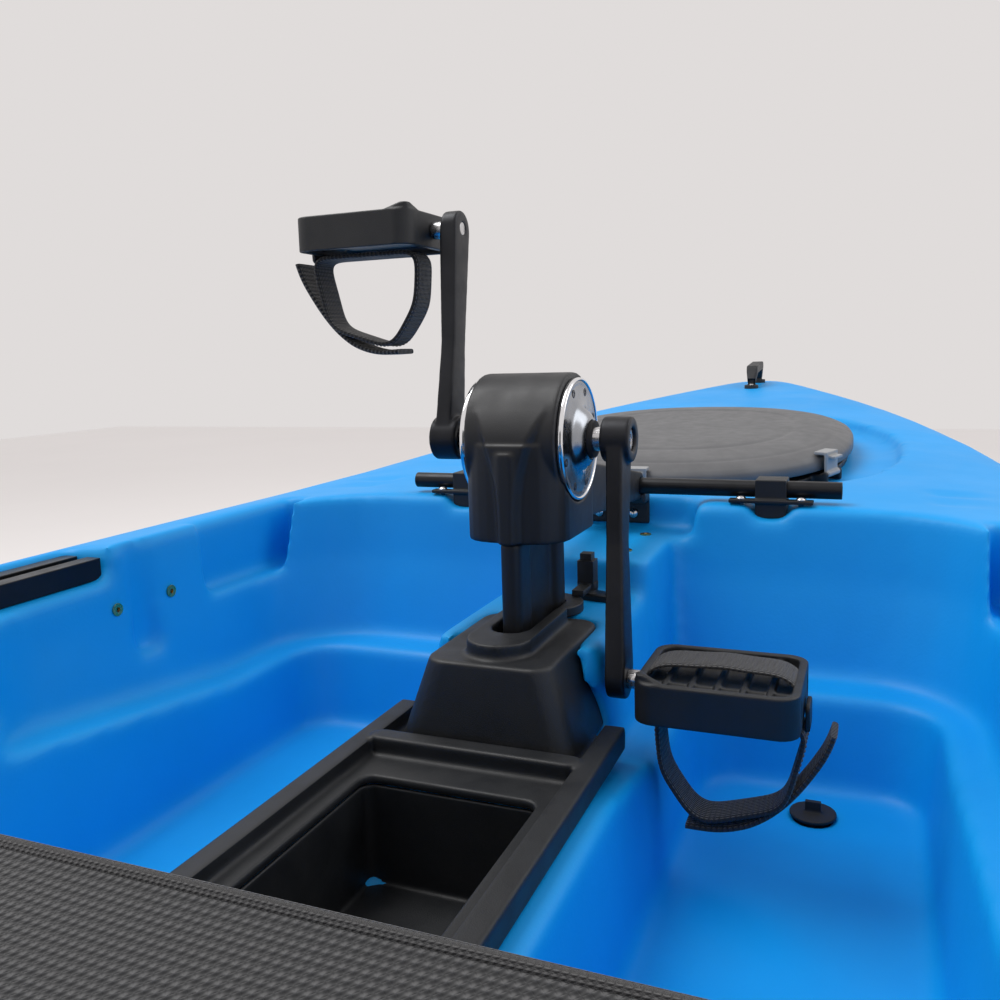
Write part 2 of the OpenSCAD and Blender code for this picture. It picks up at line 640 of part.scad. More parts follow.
// ---- pedals
module at_pedal(s) {
  translate([crank_x + s * crank_len * sin(crank_tilt), 0, crank_z + s * crank_len * cos(crank_tilt)])
    mirror([0, s < 0 ? 1 : 0, 0]) children();
}
ped_y = 98;
module spindle_form() {
  ycyl(sp_r, arm_y - 7, ped_y + pedal_w - 16);
  ycyl(7, arm_y + 7.1, ped_y - 1);
}
module pedal_form() {
  difference() {
    union() {
      translate([0, ped_y, 0]) linear_extrude(height = pedal_h, center = true) translate([0, pedal_w / 2])
        offset(r = 14) square([pedal_l - 28, pedal_w - 28], center = true);
      hull() {
        translate([-pedal_l / 2 + 8, ped_y + 6, 0]) cylinder(r = 4, h = pedal_h / 2 + 5);
        translate([-pedal_l / 2 + 20, ped_y + 2.2, 0]) cylinder(r = 2, h = pedal_h / 2);
        translate([-pedal_l / 2 + 3, ped_y + 20, 0]) cylinder(r = 2, h = pedal_h / 2);
      }
    }
    translate([0, ped_y, sp_r + 2]) linear_extrude(height = 40) translate([0, pedal_w / 2])
      offset(r = 9) square([pedal_l - 30, pedal_w - 30], center = true);
    translate([0, ped_y, -sp_r - 2 - 40]) linear_extrude(height = 40) translate([0, pedal_w / 2])
      offset(r = 9) square([pedal_l - 30, pedal_w - 30], center = true);
    ycyl(sp_r + 0.06, ped_y - 5, ped_y + pedal_w - 15);
    for (x = [-1, 1]) hull() for (z = [-4, 4]) translate([x * 26, 0, z])
      ycyl(3, ped_y + pedal_w - 12, ped_y + pedal_w + 5);
  }
  for (i = [-2:2]) translate([-pedal_l / 2 + 4, ped_y + pedal_w / 2 + i * 17 - 2, sp_r + 1.5])
    cube([pedal_l - 8, 4, pedal_h / 2 - sp_r - 5]);
  for (x = [-24, 20]) translate([x, ped_y + 4, sp_r + 1.5])
    cube([4, pedal_w - 8, pedal_h / 2 - sp_r - 6.5]);
}
module strap_form() {
  y0 = ped_y + 8;
  y1 = ped_y + pedal_w + 4;
  hz = pedal_h / 2;
  translate([12, 0, 0]) rotate([0, -90, 0]) linear_extrude(height = 24) difference() {
    union() {
      hull() {
        translate([-hz - 6, y0 + 4]) circle(r = 4);
        translate([-hz - 6, y1 - 4]) circle(r = 4);
        translate([-hz - 42, y0 + 15]) circle(r = 12);
        translate([-hz - 66, y0 + 34]) circle(r = 14);
        translate([-hz - 52, y1 - 26]) circle(r = 14);
      }
    }
    hull() {
      translate([-hz - 6, y0 + 5.6]) circle(r = 2.6);
      translate([-hz - 6, y1 - 5.6]) circle(r = 2.6);
      translate([-hz - 42, y0 + 15]) circle(r = 9);
      translate([-hz - 66, y0 + 34]) circle(r = 11);
      translate([-hz - 52, y1 - 26]) circle(r = 11);
    }
  }
  translate([-12, y1 - 3, -hz - 6]) cube([24, 3, hz + 4]);
}
module spindle_port() { color([0.8, 0.8, 0.82]) at_pedal(1) spindle_form(); }
module pedal_port() { color([0.08, 0.08, 0.09]) at_pedal(1) pedal_form(); }
module strap_port() { color([0.05, 0.05, 0.06]) at_pedal(1) strap_form(); }
module spindle_starboard() { color([0.8, 0.8, 0.82]) at_pedal(-1) spindle_form(); }
module pedal_starboard() { color([0.08, 0.08, 0.09]) at_pedal(-1) pedal_form(); }
module strap_starboard() { color([0.05, 0.05, 0.06]) at_pedal(-1) strap_form(); }

// ---- shafts and leg
shaft_r = shaft_d / 2;
ps_r = prop_shaft_d / 2;
module drive_shaft() {
  color([0.7, 0.7, 0.72]) translate([col_x, 0, 0]) {
    translate([0, 0, prop_z + 16]) cylinder(r = shaft_r, h = crank_z - prop_z - 6);
    translate([0, 0, crank_z - 12]) linear_extrude(height = 24)
      polygon([for (i = [0:15]) let (r = (i % 2 == 0) ? shaft_r + 1.5 : shaft_r + 0.4)
        [r * cos(i * 22.5), r * sin(i * 22.5)]]);
    translate([0, 0, prop_z + 9]) cylinder(r1 = 15.5, r2 = 9, h = 9);
  }
}
module shaft_bushes() {
  color([0.66, 0.52, 0.26]) translate([col_x, 0, 0]) for (z = [head_bot + 4, prop_z + 24])
    translate([0, 0, z]) difference() {
      cylinder(r = shaft_r + 3.45, h = 12);
      translate([0, 0, -1]) cylinder(r = shaft_r + 0.04, h = 20);
    }
}
module xcyl(r, x0, x1) {
  translate([x0, 0, 0]) rotate([0, 90, 0]) cylinder(r = r, h = x1 - x0);
}
pod_x0 = crank_x - 84;
pod_x1 = crank_x + 78;
module drive_leg() {
  z0 = prop_z;
  color([0.07, 0.07, 0.08]) difference() {
    union() {
      translate([col_x, 0, z0]) cylinder(r = col_r, h = head_bot - z0 - 0.1);
      translate([leg_x0 + 24, -4, z0]) cube([col_x - leg_x0 - 30, 8, head_bot - z0 - 0.1]);
      translate([0, 0, z0]) linear_extrude(height = head_bot - z0 - 0.1) rr(leg_x0, leg_x0 + 30, 8, 6);
      translate([0, 0, z0]) rotate([0, 90, 0]) rotate_extrude()
        polygon([[0, pod_x0], [15, pod_x0], [21, pod_x0 + 12], [25, pod_x0 + 44], [26, crank_x + 20],
          [24, crank_x + 48], [18, crank_x + 66], [10, crank_x + 75], [0, pod_x1]]);
      translate([0, 4, 0]) rotate([90, 0, 0]) linear_extrude(height = 8)
        polygon([[crank_x - 50, z0 - 18], [crank_x - 20, z0 - 118], [crank_x + 8, z0 - 140],
          [crank_x + 30, z0 - 132], [crank_x + 60, z0 - 16]]);
    }
    translate([col_x, 0, z0 + 30]) cylinder(r = shaft_r + 3.5, h = head_bot - z0);
    translate([col_x, 0, z0]) cylinder(r = 17, h = 24.5);
    translate([col_x, 0, z0 + 20]) cylinder(r = shaft_r + 3.5, h = 20);
    translate([0, 0, z0]) xcyl(11, crank_x - 10, col_x + 1);
    translate([0, 0, z0]) xcyl(ps_r + 3.5, pod_x0 - 5, crank_x);
  }
}
module prop_shaft() {
  color([0.75, 0.75, 0.77]) translate([0, 0, prop_z]) {
    xcyl(ps_r, crank_x - 130, col_x - 15);
    translate([col_x - 26, 0, 0]) rotate([0, 90, 0]) cylinder(r1 = 9, r2 = 7.4, h = 9.5);
  }
}
module prop_bushes() {
  color([0.66, 0.52, 0.26]) translate([0, 0, prop_z]) for (x = [pod_x0 + 1, crank_x - 28])
    difference() {
      xcyl(ps_r + 3.45, x, x + 14);
      xcyl(ps_r + 0.04, x - 2, x + 20);
    }
}
module blade_form() {
  translate([0, 0, 10])
    linear_extrude(height = prop_d / 2 - 10, twist = -34, slices = 8, scale = [0.62, 0.45])
    rotate(58) scale([1, 0.15]) circle(r = 30, $fn = 14);
}
module propeller() {
  color([0.1, 0.1, 0.11]) translate([crank_x - 104, 0, prop_z]) difference() {
    union() {
      xcyl(16, -16, 18);
      blade_form();
      rotate([180, 0, 0]) blade_form();
    }
    xcyl(ps_r, -40, 40);
  }
}
module prop_nut() {
  color([0.8, 0.8, 0.82]) translate([crank_x - 104, 0, prop_z]) difference() {
    union() {
      translate([-25, 0, 0]) rotate([0, 90, 0]) cylinder(r = 11, h = 8.8, $fn = 6);
      translate([-27, 0, 0]) sphere(r = 8, $fn = 24);
    }
    xcyl(ps_r, -26, 0);
  }
}

// ---- seat
seat_x0 = -520;
seat_x1 = seat_x0 + seat_d - 70;
side_y = seat_w / 2 + 11;
tube_z = ledge_z + 55;
track_y = cockpit_half - 43;
module track_form() {
  translate([-605, 0, ledge_z + 0.2]) rotate([90, 0, 90]) linear_extrude(height = seat_d + 85)
    polygon([[-12, 0], [12, 0], [12, 12], [4, 12], [4, 9], [9, 9], [9, 3], [-9, 3], [-9, 9],
      [-4, 9], [-4, 12], [-12, 12]]);
}
module seat_track_port() { color([0.3, 0.3, 0.31]) translate([0, track_y, 0]) track_form(); }
module seat_track_starboard() { color([0.3, 0.3, 0.31]) translate([0, -track_y, 0]) track_form(); }
module seat_frame() {
  color([0.62, 0.63, 0.64]) {
    for (s = [-1, 1]) translate([0, s * side_y, tube_z]) xcyl(tube_r, seat_x0 - 22, seat_x1 + 22);
    for (x = [seat_x0 + 40, seat_x1]) translate([x, 0, tube_z]) ycyl(tube_r - 2, -side_y, side_y);
    for (x = [seat_x0 + 25, seat_x1 - 15]) for (s = [0, 1]) mirror([0, s, 0]) translate([x, 0, 0]) {
      translate([0, side_y, ledge_z + 14]) cylinder(r = 9, h = tube_z - ledge_z - 14);
      translate([-20, side_y - 9, ledge_z + 12.6]) cube([40, track_y + 9 - side_y + 9, 6]);
      translate([-16, track_y - 3.6, ledge_z + 5]) cube([32, 7.2, 9]);
      translate([-16, track_y - 8.5, ledge_z + 3.6]) cube([32, 17, 5.2]);
    }
    for (s = [0, 1]) mirror([0, s, 0]) translate([seat_x0, 0, tube_z]) ycyl(5, side_y - 38, side_y);
  }
}
module seat_sling() {
  color([0.12, 0.12, 0.13]) translate([seat_x0 + 22, -side_y - 4, tube_z + tube_r + 0.2])
    cube([seat_x1 - seat_x0 - 8, 2 * side_y + 8, 5]);
}
module at_back() {
  translate([seat_x0, 0, tube_z]) rotate([0, -14, 0]) children();
}
back_y = side_y - 2 * tube_r - 2;
module back_frame() {
  color([0.62, 0.63, 0.64]) at_back() difference() {
    union() {
      for (s = [-1, 1]) translate([0, s * back_y, 0]) cylinder(r = tube_r - 1, h = back_h);
      translate([0, 0, back_h - 6]) ycyl(tube_r - 2, -back_y - tube_r + 3, back_y + tube_r - 3);
      translate([0, 0, 90]) ycyl(tube_r - 4, -back_y, back_y);
      for (s = [-1, 1]) translate([0, s * back_y, 0]) ycyl(15, -tube_r + 1, tube_r - 1);
    }
    for (s = [-1, 1]) translate([0, s * back_y, 0]) ycyl(5.06, -30, 30);
  }
}
module back_sling() {
  color([0.12, 0.12, 0.13]) at_back() translate([tube_r - 0.8, -back_y - 9, 60])
    cube([5, 2 * back_y + 18, back_h - 72]);
}

// ---- small hull fittings
module scupper_plugs() {
  color([0.06, 0.06, 0.06]) for (s = [-1, 1]) for (i = [0, 1]) {
    p = scuppers[i];
    translate([p[0], s * p[1], pan_z - 22]) {
      cylinder(r1 = 12.5, r2 = 14.2, h = 22.2);
      translate([0, 0, 22.3]) cylinder(r = 18, h = 3);
      translate([-2, -6, 25]) cube([4, 12, 9]);
    }
  }
}
module handle_form(x, b) {
  z0 = top((x - 62) / hl);
  z1 = top((x + 62) / hl);
  color([0.06, 0.06, 0.07]) difference() {
    union() {
      for (e = [[-62, z0], [62, z1]]) translate([x + e[0], 0, e[1] - 3]) cylinder(r = 14, h = 10);
      hull() {
        translate([x - 62, 0, z0 + 4]) cylinder(r = 7, h = 3);
        translate([x - 46, 0, z0 + 38]) ycyl(8, -11, 11);
      }
      hull() {
        translate([x + 62, 0, z1 + 4]) cylinder(r = 7, h = 3);
        translate([x + 46, 0, z1 + 38]) ycyl(8, -11, 11);
      }
      hull() {
        translate([x - 46, 0, z0 + 38]) ycyl(8, -11, 11);
        translate([x + 46, 0, z1 + 38]) ycyl(8, -11, 11);
      }
    }
    for (e = [[-62, z0], [62, z1]]) translate([x + e[0], 0, e[1] + 7]) cylinder(r = 8, h = 12);
    for (e = [[-62, z0], [62, z1]]) translate([x + e[0], 0, e[1] - 5]) cylinder(r = 2.3, h = 22);
  }
}
module handle_bow() { handle_form(hl - 165, 1); }
module handle_stern() { handle_form(-hl + 165, -1); }

// ---- rudder and steering
rp_x = stern_x - 24;
rp_z = kz * 268;
rk_x = rp_x - 42;
rud_r = rudder_pin_d / 2;
module rudder_bracket() {
  color([0.09, 0.09, 0.1]) difference() {
    union() {
      translate([stern_x - 7, -30, rp_z - 50]) cube([6.8, 60, 100]);
      for (z = [-44, 28]) translate([0, 0, rp_z + z]) linear_extrude(height = 16) hull() {
        translate([rp_x, 0]) circle(r = rud_r + 6);
        translate([stern_x - 7, -16]) square([4, 32]);
      }
    }
    translate([rp_x, 0, rp_z - 60]) cylinder(r = rud_r + 0.05, h = 130);
  }
}
module rudder_head() {
  color([0.1, 0.1, 0.11]) difference() {
    union() {
      translate([rp_x, 0, rp_z - 50]) cylinder(r = rud_r, h = 106);
      translate([rp_x, 0, rp_z - 27]) cylinder(r = rud_r + 6, h = 54);
      translate([rk_x - 14, -rudder_t / 2 - 8, rp_z - 26]) cube([rp_x - rk_x + 6, rudder_t + 16, 52]);
      translate([rp_x, 0, rp_z + 52]) cylinder(r = rud_r + 5, h = 6);
      translate([rp_x - 5, -28, rp_z + 52]) cube([10, 56, 6]);
    }
    translate([rk_x - 30, -rudder_t / 2 - 0.4, rp_z - 40]) cube([46, rudder_t + 0.8, 90]);
  }
  translate([rk_x, 0, rp_z]) ycyl(4, -rudder_t / 2 - 8, rudder_t / 2 + 8);
}
module rudder_blade() {
  color([0.12, 0.12, 0.13]) translate([rk_x, rudder_t / 2, rp_z]) rotate([90, 0, 0]) difference() {
    linear_extrude(height = rudder_t)
      polygon(concat([for (a = [195:-15:-15]) [13 * cos(a), 13 * sin(a)]],
        [[14, -60], [24, -110], [18, -rudder_len + 20], [4, -rudder_len],
        [-40, -rudder_len + 6], [-70, -rudder_len + 60], [-66, -130], [-40, -70]]));
    translate([0, 0, -1]) cylinder(r = 4.06, h = rudder_t + 2);
  }
}
st_x = -40;
st_z = ledge_z + 42;
st_y = cockpit_half - 14;
module steer_base() {
  color([0.09, 0.09, 0.1]) translate([st_x, 0, st_z]) difference() {
    ycyl(24, st_y - 10, st_y + 0.6);
    ycyl(6, st_y - 20, st_y - 4);
  }
}
module steer_lever() {
  color([0.08, 0.08, 0.09]) translate([st_x, 0, st_z]) {
    ycyl(5.94, st_y - 20, st_y - 4.3);
    ycyl(17, st_y - 20.5, st_y - 10.4);
    hull() {
      ycyl(12, st_y - 20, st_y - 13);
      translate([0, 0, 92]) ycyl(7, st_y - 20, st_y - 13);
    }
    translate([0, st_y - 20, 96]) sphere(r = 13, $fn = 28);
  }
}

hull_shell();
hatch_ring();
hatch_gasket();
hatch_lid();
hatch_pins();
latch_aft();
latch_port();
latch_starboard();
gear_rail_port();
gear_rail_starboard();
rail_screws();
brass_inserts();
cross_bar();
bar_clip_port();
bar_clip_starboard();
dome_screws();
dock_bracket();
console();
console_tray();
column_collar();
lock_base();
lock_lever();
gear_housing();
disc_port();
disc_starboard();
disc_bolts();
axle_seals();
crank_bearings();
crank_axle();
crank_gear();
crank_arm_port();
crank_arm_starboard();
crank_bolts();
spindle_port();
pedal_port();
strap_port();
spindle_starboard();
pedal_starboard();
strap_starboard();
drive_shaft();
shaft_bushes();
drive_leg();
prop_shaft();
prop_bushes();
propeller();
prop_nut();
seat_track_port();
seat_track_starboard();
seat_frame();
seat_sling();
back_frame();
back_sling();
scupper_plugs();
handle_bow();
handle_stern();
rudder_bracket();
rudder_head();
rudder_blade();
steer_base();
steer_lever();
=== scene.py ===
# %% [markdown]
# # A pedal boat in Blender
# The boat is a sit-on-top kayak that a rider drives by turning cranks. Its frame, with every
# joint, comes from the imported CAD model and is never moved. This script gives it its looks:
# soft moulded edges, cloth, straps and finishes.

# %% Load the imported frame
import json
import math

import bmesh
import bpy
import numpy as np
from mathutils import Matrix, Vector


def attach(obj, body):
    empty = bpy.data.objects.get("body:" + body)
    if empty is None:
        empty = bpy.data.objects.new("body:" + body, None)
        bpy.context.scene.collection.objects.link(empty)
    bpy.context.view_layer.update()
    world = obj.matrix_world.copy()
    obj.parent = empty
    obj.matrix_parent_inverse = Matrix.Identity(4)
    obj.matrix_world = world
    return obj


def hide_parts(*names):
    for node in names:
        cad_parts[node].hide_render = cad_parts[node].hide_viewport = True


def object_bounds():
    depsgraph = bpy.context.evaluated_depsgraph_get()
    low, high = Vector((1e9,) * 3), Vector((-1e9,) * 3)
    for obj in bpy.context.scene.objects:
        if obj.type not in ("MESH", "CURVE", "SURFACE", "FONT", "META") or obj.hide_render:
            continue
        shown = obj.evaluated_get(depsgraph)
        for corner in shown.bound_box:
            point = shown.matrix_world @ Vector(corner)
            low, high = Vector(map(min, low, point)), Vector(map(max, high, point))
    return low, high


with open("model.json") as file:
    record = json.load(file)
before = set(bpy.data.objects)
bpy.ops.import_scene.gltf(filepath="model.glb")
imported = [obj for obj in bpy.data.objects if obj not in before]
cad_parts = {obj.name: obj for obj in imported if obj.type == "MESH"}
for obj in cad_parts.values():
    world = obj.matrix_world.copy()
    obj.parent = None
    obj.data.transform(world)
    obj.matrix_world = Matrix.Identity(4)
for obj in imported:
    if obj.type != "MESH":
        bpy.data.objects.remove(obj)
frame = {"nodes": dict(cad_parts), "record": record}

cad_box = [list(corner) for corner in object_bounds()]
scene = bpy.context.scene
MM = 0.001
print("CAD box in metres:", [[round(v, 3) for v in corner] for corner in cad_box])

# %% [markdown]
# ## The camera
# A rider's view from just behind and above the port foot pan, looking forward over the
# drive. It is made first, because everything else is judged through it. The lens is a
# moderate wide angle, and a small shift places the horizon.

# %% Place the camera
EYE = Vector((-0.4146, -0.2459, 0.4944))
YAW, PITCH, ROLL = (math.radians(a) for a in (22.32, 7.52, -1.65))
ahead = Vector((math.cos(PITCH) * math.cos(YAW), math.cos(PITCH) * math.sin(YAW), -math.sin(PITCH)))
right = Vector((math.sin(YAW), -math.cos(YAW), 0))
up = right.cross(ahead)
level, plumb = right, up
right = level * math.cos(ROLL) + plumb * math.sin(ROLL)
up = plumb * math.cos(ROLL) - level * math.sin(ROLL)
SENSOR_WIDTH = 36
FOCAL_SHARE = 0.9272
HORIZON_SHIFT = -0.023
lens = bpy.data.cameras.new("rider_eye")
lens.sensor_width = SENSOR_WIDTH
lens.lens = SENSOR_WIDTH * FOCAL_SHARE
lens.shift_y = HORIZON_SHIFT
lens.clip_start = 0.01
camera = bpy.data.objects.new("rider_eye", lens)
scene.collection.objects.link(camera)
camera.matrix_world = Matrix((right, up, -ahead)).transposed().to_4x4()
camera.location = EYE
scene.camera = camera
print("camera at", tuple(round(v, 3) for v in EYE))

# %% [markdown]
# ## Mesh helpers
# Most new pieces are grids: rows of points worked out with numpy, joined by quads. Moulded
# pieces start as merged copies of CAD nodes and are rounded. These helpers do both.


# %% Grids, copies and rounding
def grid_quads(rows, columns, wrap_rows=False, wrap_columns=True):
    """Quads of a grid: corner (i, j) joins (i+1, j), (i+1, j+1) and (i, j+1), and wraps where asked."""
    i, j = np.meshgrid(
        np.arange(rows if wrap_rows else rows - 1),
        np.arange(columns if wrap_columns else columns - 1),
        indexing="ij",
    )
    i, j = i.ravel(), j.ravel()
    i2, j2 = (i + 1) % rows, (j + 1) % columns
    return np.stack([i * columns + j, i2 * columns + j, i2 * columns + j2, i * columns + j2], axis=1)


def place_mesh(name, mesh):
    """A new object of this mesh, in the scene."""
    piece = bpy.data.objects.new(name, mesh)
    scene.collection.objects.link(piece)
    return piece


def make_piece(name, points, faces, body, finish, stands_for=(), sharp=None):
    """Puts closed surfaces into a mesh with its faces turned outwards. It is shaded smooth, apart
    from edges turned more than sharp degrees."""
    mesh = bpy.data.meshes.new(name)
    mesh.from_pydata(np.asarray(points, float).reshape(-1, 3).tolist(), [], [list(f) for f in faces])
    work = bmesh.new()
    work.from_mesh(mesh)
    if work.calc_volume(signed=True) < 0:
        bmesh.ops.reverse_faces(work, faces=work.faces)
        work.to_mesh(mesh)
    work.free()
    return finish_piece(place_mesh(name, mesh), body, finish, stands_for, sharp)


def finish_piece(piece, body, finish, stands_for=(), sharp=None):
    """Shades a piece, gives it its finish and its place among the bodies."""
    mesh = piece.data
    mesh.polygons.foreach_set("use_smooth", np.ones(len(mesh.polygons), bool))
    if sharp is not None:
        mesh.set_sharp_from_angle(angle=math.radians(sharp))
    mesh.materials.clear()
    mesh.materials.append(finish)
    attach(piece, body)
    if stands_for:
        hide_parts(*stands_for)
    return piece


def merged_copy(node, name):
    """A copy of a CAD node's mesh, with its loose triangles joined where corners meet."""
    work = bmesh.new()
    work.from_mesh(frame["nodes"][node].data)
    bmesh.ops.remove_doubles(work, verts=work.verts, dist=4e-6)
    mesh = bpy.data.meshes.new(name)
    work.to_mesh(mesh)
    work.free()
    return place_mesh(name, mesh)


def settle(piece):
    """Bakes a piece's modifiers into its mesh."""
    graph = bpy.context.evaluated_depsgraph_get()
    mesh = bpy.data.meshes.new_from_object(piece.evaluated_get(graph))
    piece.modifiers.clear()
    piece.data = mesh
    return piece


def corners_of(mesh):
    """The mesh's corners as an array, one row each."""
    flat = np.empty(len(mesh.vertices) * 3, np.float32)
    mesh.vertices.foreach_get("co", flat)
    return flat.reshape(-1, 3).astype(float)


def set_corners(mesh, points):
    """Moves the mesh's corners to these points."""
    mesh.vertices.foreach_set("co", points.astype(np.float32).ravel())
    mesh.update()


def relax(mesh, rounds, pull=0.5):
    """Rounds edges over: each round moves every corner part of the way to its neighbours' mean."""
    points = corners_of(mesh)
    ends = np.empty(len(mesh.edges) * 2, np.int32)
    mesh.edges.foreach_get("vertices", ends)
    a, b = ends.reshape(-1, 2).T
    here, there = np.concatenate([a, b]), np.concatenate([b, a])
    size = len(points)
    count = np.maximum(np.bincount(here, minlength=size), 1)[:, None]
    for _ in range(rounds):
        sums = [np.bincount(here, weights=points[there, k], minlength=size) for k in range(3)]
        points += pull * (np.stack(sums, 1) / count - points)
    set_corners(mesh, points)


def thin_out(piece, keep):
    """Keeps this share of a piece's triangles, dropping them where it is flattest."""
    thin = piece.modifiers.new("thin", "DECIMATE")
    thin.ratio = keep
    thin.use_collapse_triangulate = True
    settle(piece)


def mould(piece, voxel, rounds, keep=1.0):
    """Rebuilds a closed piece as even quads a voxel wide, rounds its edges over and thins it."""
    voxels = piece.modifiers.new("voxels", "REMESH")
    voxels.mode = "VOXEL"
    voxels.voxel_size = voxel
    settle(piece)
    relax(piece.data, rounds)
    if keep < 1:
        thin_out(piece, keep)
    return piece


MOULDED_SHARP = 50
MACHINED_SHARP = 32


def moulded(node, body, finish, voxel, rounds, keep=0.4):
    """A CAD node as a soft-edged moulding that stands for it."""
    piece = mould(merged_copy(node, node + "_moulding"), voxel * MM, rounds, keep)
    finish_piece(piece, body, finish, (node,), MOULDED_SHARP)
    print(piece.name, len(piece.data.polygons), "faces")
    return piece


def machined(node, body, finish, bevel=0.0):
    """A CAD node with its loose triangles joined and its round faces shaded smooth. A bevel in mm
    breaks its edges."""
    piece = merged_copy(node, node + "_machined")
    finish_piece(piece, body, finish, (node,), MACHINED_SHARP)
    if bevel:
        edge = piece.modifiers.new("broken_edge", "BEVEL")
        edge.width, edge.segments = bevel * MM, 2
        edge.limit_method, edge.angle_limit = "ANGLE", math.radians(MACHINED_SHARP)
        edge.use_clamp_overlap = True
        edge.harden_normals = False
    return piece


def gather(parts):
    """Several sets of points and faces as one."""
    points, faces, base = [], [], 0
    for some, quads in parts:
        points.append(np.asarray(some).reshape(-1, 3))
        faces += [[int(v) + base for v in face] for face in quads]
        base += len(points[-1])
    return np.concatenate(points), faces


print("helpers ready")

# %% [markdown]
# ## Finishes
# Every finish is a node material on object coordinates. One builder makes the common base:
# a colour that drifts between two tones, a roughness that drifts too, and a fine bump.
# Where a finish has a painted highlight on its edges, the mesh's own curvature picks the edges out.


# %% Build a finish
def finish(name, tones, rough, grain=(0.0, 1.0), metal=0.0, drift=6.0, edge_highlight=None, specular=0.5):
    """A surface. tones are two colours, rough its low and high roughness, and grain the strength
    of a bump and its noise scale. drift is the noise scale of the colour patches, and the edge
    colour is a painted highlight that lightens the sharpest edges."""
    made = bpy.data.materials.new(name)
    made.use_nodes = True
    tree = made.node_tree
    n, link = tree.nodes, tree.links.new
    shader = n["Principled BSDF"]
    shader.inputs["Metallic"].default_value = metal
    shader.inputs["Specular IOR Level"].default_value = specular
    where = n.new("ShaderNodeTexCoord")
    patches = n.new("ShaderNodeTexNoise")
    patches.inputs["Scale"].default_value = drift
    patches.inputs["Detail"].default_value = 5
    patches.inputs["Roughness"].default_value = 0.62
    link(where.outputs["Object"], patches.inputs["Vector"])
    ramp = n.new("ShaderNodeValToRGB")
    ramp.color_ramp.elements[0].position, ramp.color_ramp.elements[1].position = 0.34, 0.68
    ramp.color_ramp.elements[0].color = (*tones[0], 1)
    ramp.color_ramp.elements[1].color = (*tones[1], 1)
    link(patches.outputs["Fac"], ramp.inputs["Fac"])
    colour = ramp.outputs["Color"]
    # Painted highlight: the sharpest convex edges, picked out by pointiness, are mixed towards a lighter
    # colour.
    if edge_highlight:
        edge = n.new("ShaderNodeNewGeometry")
        pick = n.new("ShaderNodeMapRange")
        pick.inputs["From Min"].default_value, pick.inputs["From Max"].default_value = 0.53, 0.62
        pick.inputs["To Max"].default_value = 0.55
        link(edge.outputs["Pointiness"], pick.inputs["Value"])
        blend = n.new("ShaderNodeMix")
        blend.data_type = "RGBA"
        blend.inputs["B"].default_value = (*edge_highlight, 1)
        link(pick.outputs["Result"], blend.inputs["Factor"])
        link(colour, blend.inputs["A"])
        colour = blend.outputs["Result"]
    link(colour, shader.inputs["Base Color"])
    dull = n.new("ShaderNodeMapRange")
    dull.inputs["From Min"].default_value, dull.inputs["From Max"].default_value = 0.3, 0.7
    dull.inputs["To Min"].default_value, dull.inputs["To Max"].default_value = rough
    smudge = n.new("ShaderNodeTexNoise")
    smudge.inputs["Scale"].default_value = drift * 3.1
    smudge.inputs["Detail"].default_value = 6
    link(where.outputs["Object"], smudge.inputs["Vector"])
    link(smudge.outputs["Fac"], dull.inputs["Value"])
    link(dull.outputs["Result"], shader.inputs["Roughness"])
    if grain[0]:
        pits = n.new("ShaderNodeTexNoise")
        pits.inputs["Scale"].default_value = grain[1]
        pits.inputs["Detail"].default_value = 3
        link(where.outputs["Object"], pits.inputs["Vector"])
        bump = n.new("ShaderNodeBump")
        bump.inputs["Strength"].default_value = grain[0]
        bump.inputs["Distance"].default_value = 0.0006
        link(pits.outputs["Fac"], bump.inputs["Height"])
        link(bump.outputs["Normal"], shader.inputs["Normal"])
    return made


# The lighter edge colours of the hull, the black mouldings, the drive housing and the crank arms are painted
# highlights on their edges.
HULL_BLUE = finish(
    "hull_polyethylene", ((0.0004, 0.305, 0.755), (0.0010, 0.34, 0.83)), (0.44, 0.56), (0.16, 420.0),
    drift=4.0, edge_highlight=(0.01, 0.42, 0.88), specular=0.3,
)
LID_GREY = finish(
    "hatch_grey_plastic", ((0.088, 0.091, 0.097), (0.112, 0.115, 0.121)), (0.46, 0.58), (0.3, 900.0),
    drift=22.0,
)
LATCH_GREY = finish(
    "latch_grey_plastic", ((0.25, 0.26, 0.27), (0.31, 0.32, 0.33)), (0.38, 0.5), (0.2, 1200.0)
)
BLACK_PLASTIC = finish(
    "black_moulded_plastic", ((0.0055, 0.0068, 0.0088), (0.009, 0.0108, 0.0135)), (0.42, 0.58),
    (0.34, 1500.0), drift=14.0, edge_highlight=(0.035, 0.037, 0.042),
)
HOUSING_BLACK = finish(
    "drive_housing_black", ((0.0045, 0.0055, 0.0075), (0.0075, 0.0085, 0.011)), (0.40, 0.54),
    (0.26, 1700.0), drift=16.0, edge_highlight=(0.04, 0.042, 0.047),
)
RUBBER = finish("soft_rubber", ((0.008, 0.008, 0.009), (0.014, 0.014, 0.015)), (0.6, 0.78), (0.3, 1300.0))
RAIL_BLACK = finish(
    "anodised_rail", ((0.010, 0.011, 0.013), (0.016, 0.017, 0.02)), (0.3, 0.42), (0.1, 2600.0),
    metal=0.55, drift=20.0,
)
ARM_METAL = finish(
    "crank_arm_anodised", ((0.012, 0.013, 0.016), (0.020, 0.021, 0.025)), (0.36, 0.48), (0.12, 2200.0),
    metal=0.6, drift=25.0, edge_highlight=(0.045, 0.047, 0.052),
)
TUBE_ALLOY = finish(
    "seat_tube_alloy", ((0.44, 0.45, 0.46), (0.52, 0.53, 0.54)), (0.32, 0.46), (0.12, 1900.0),
    metal=0.95, drift=18.0,
)
CHROME = finish(
    "brushed_disc", ((0.30, 0.32, 0.35), (0.40, 0.42, 0.45)), (0.20, 0.30), metal=1.0, drift=40.0
)
BRIGHT_RIM = finish(
    "polished_rim", ((0.84, 0.85, 0.87), (0.92, 0.92, 0.93)), (0.10, 0.18), metal=1.0, drift=40.0
)
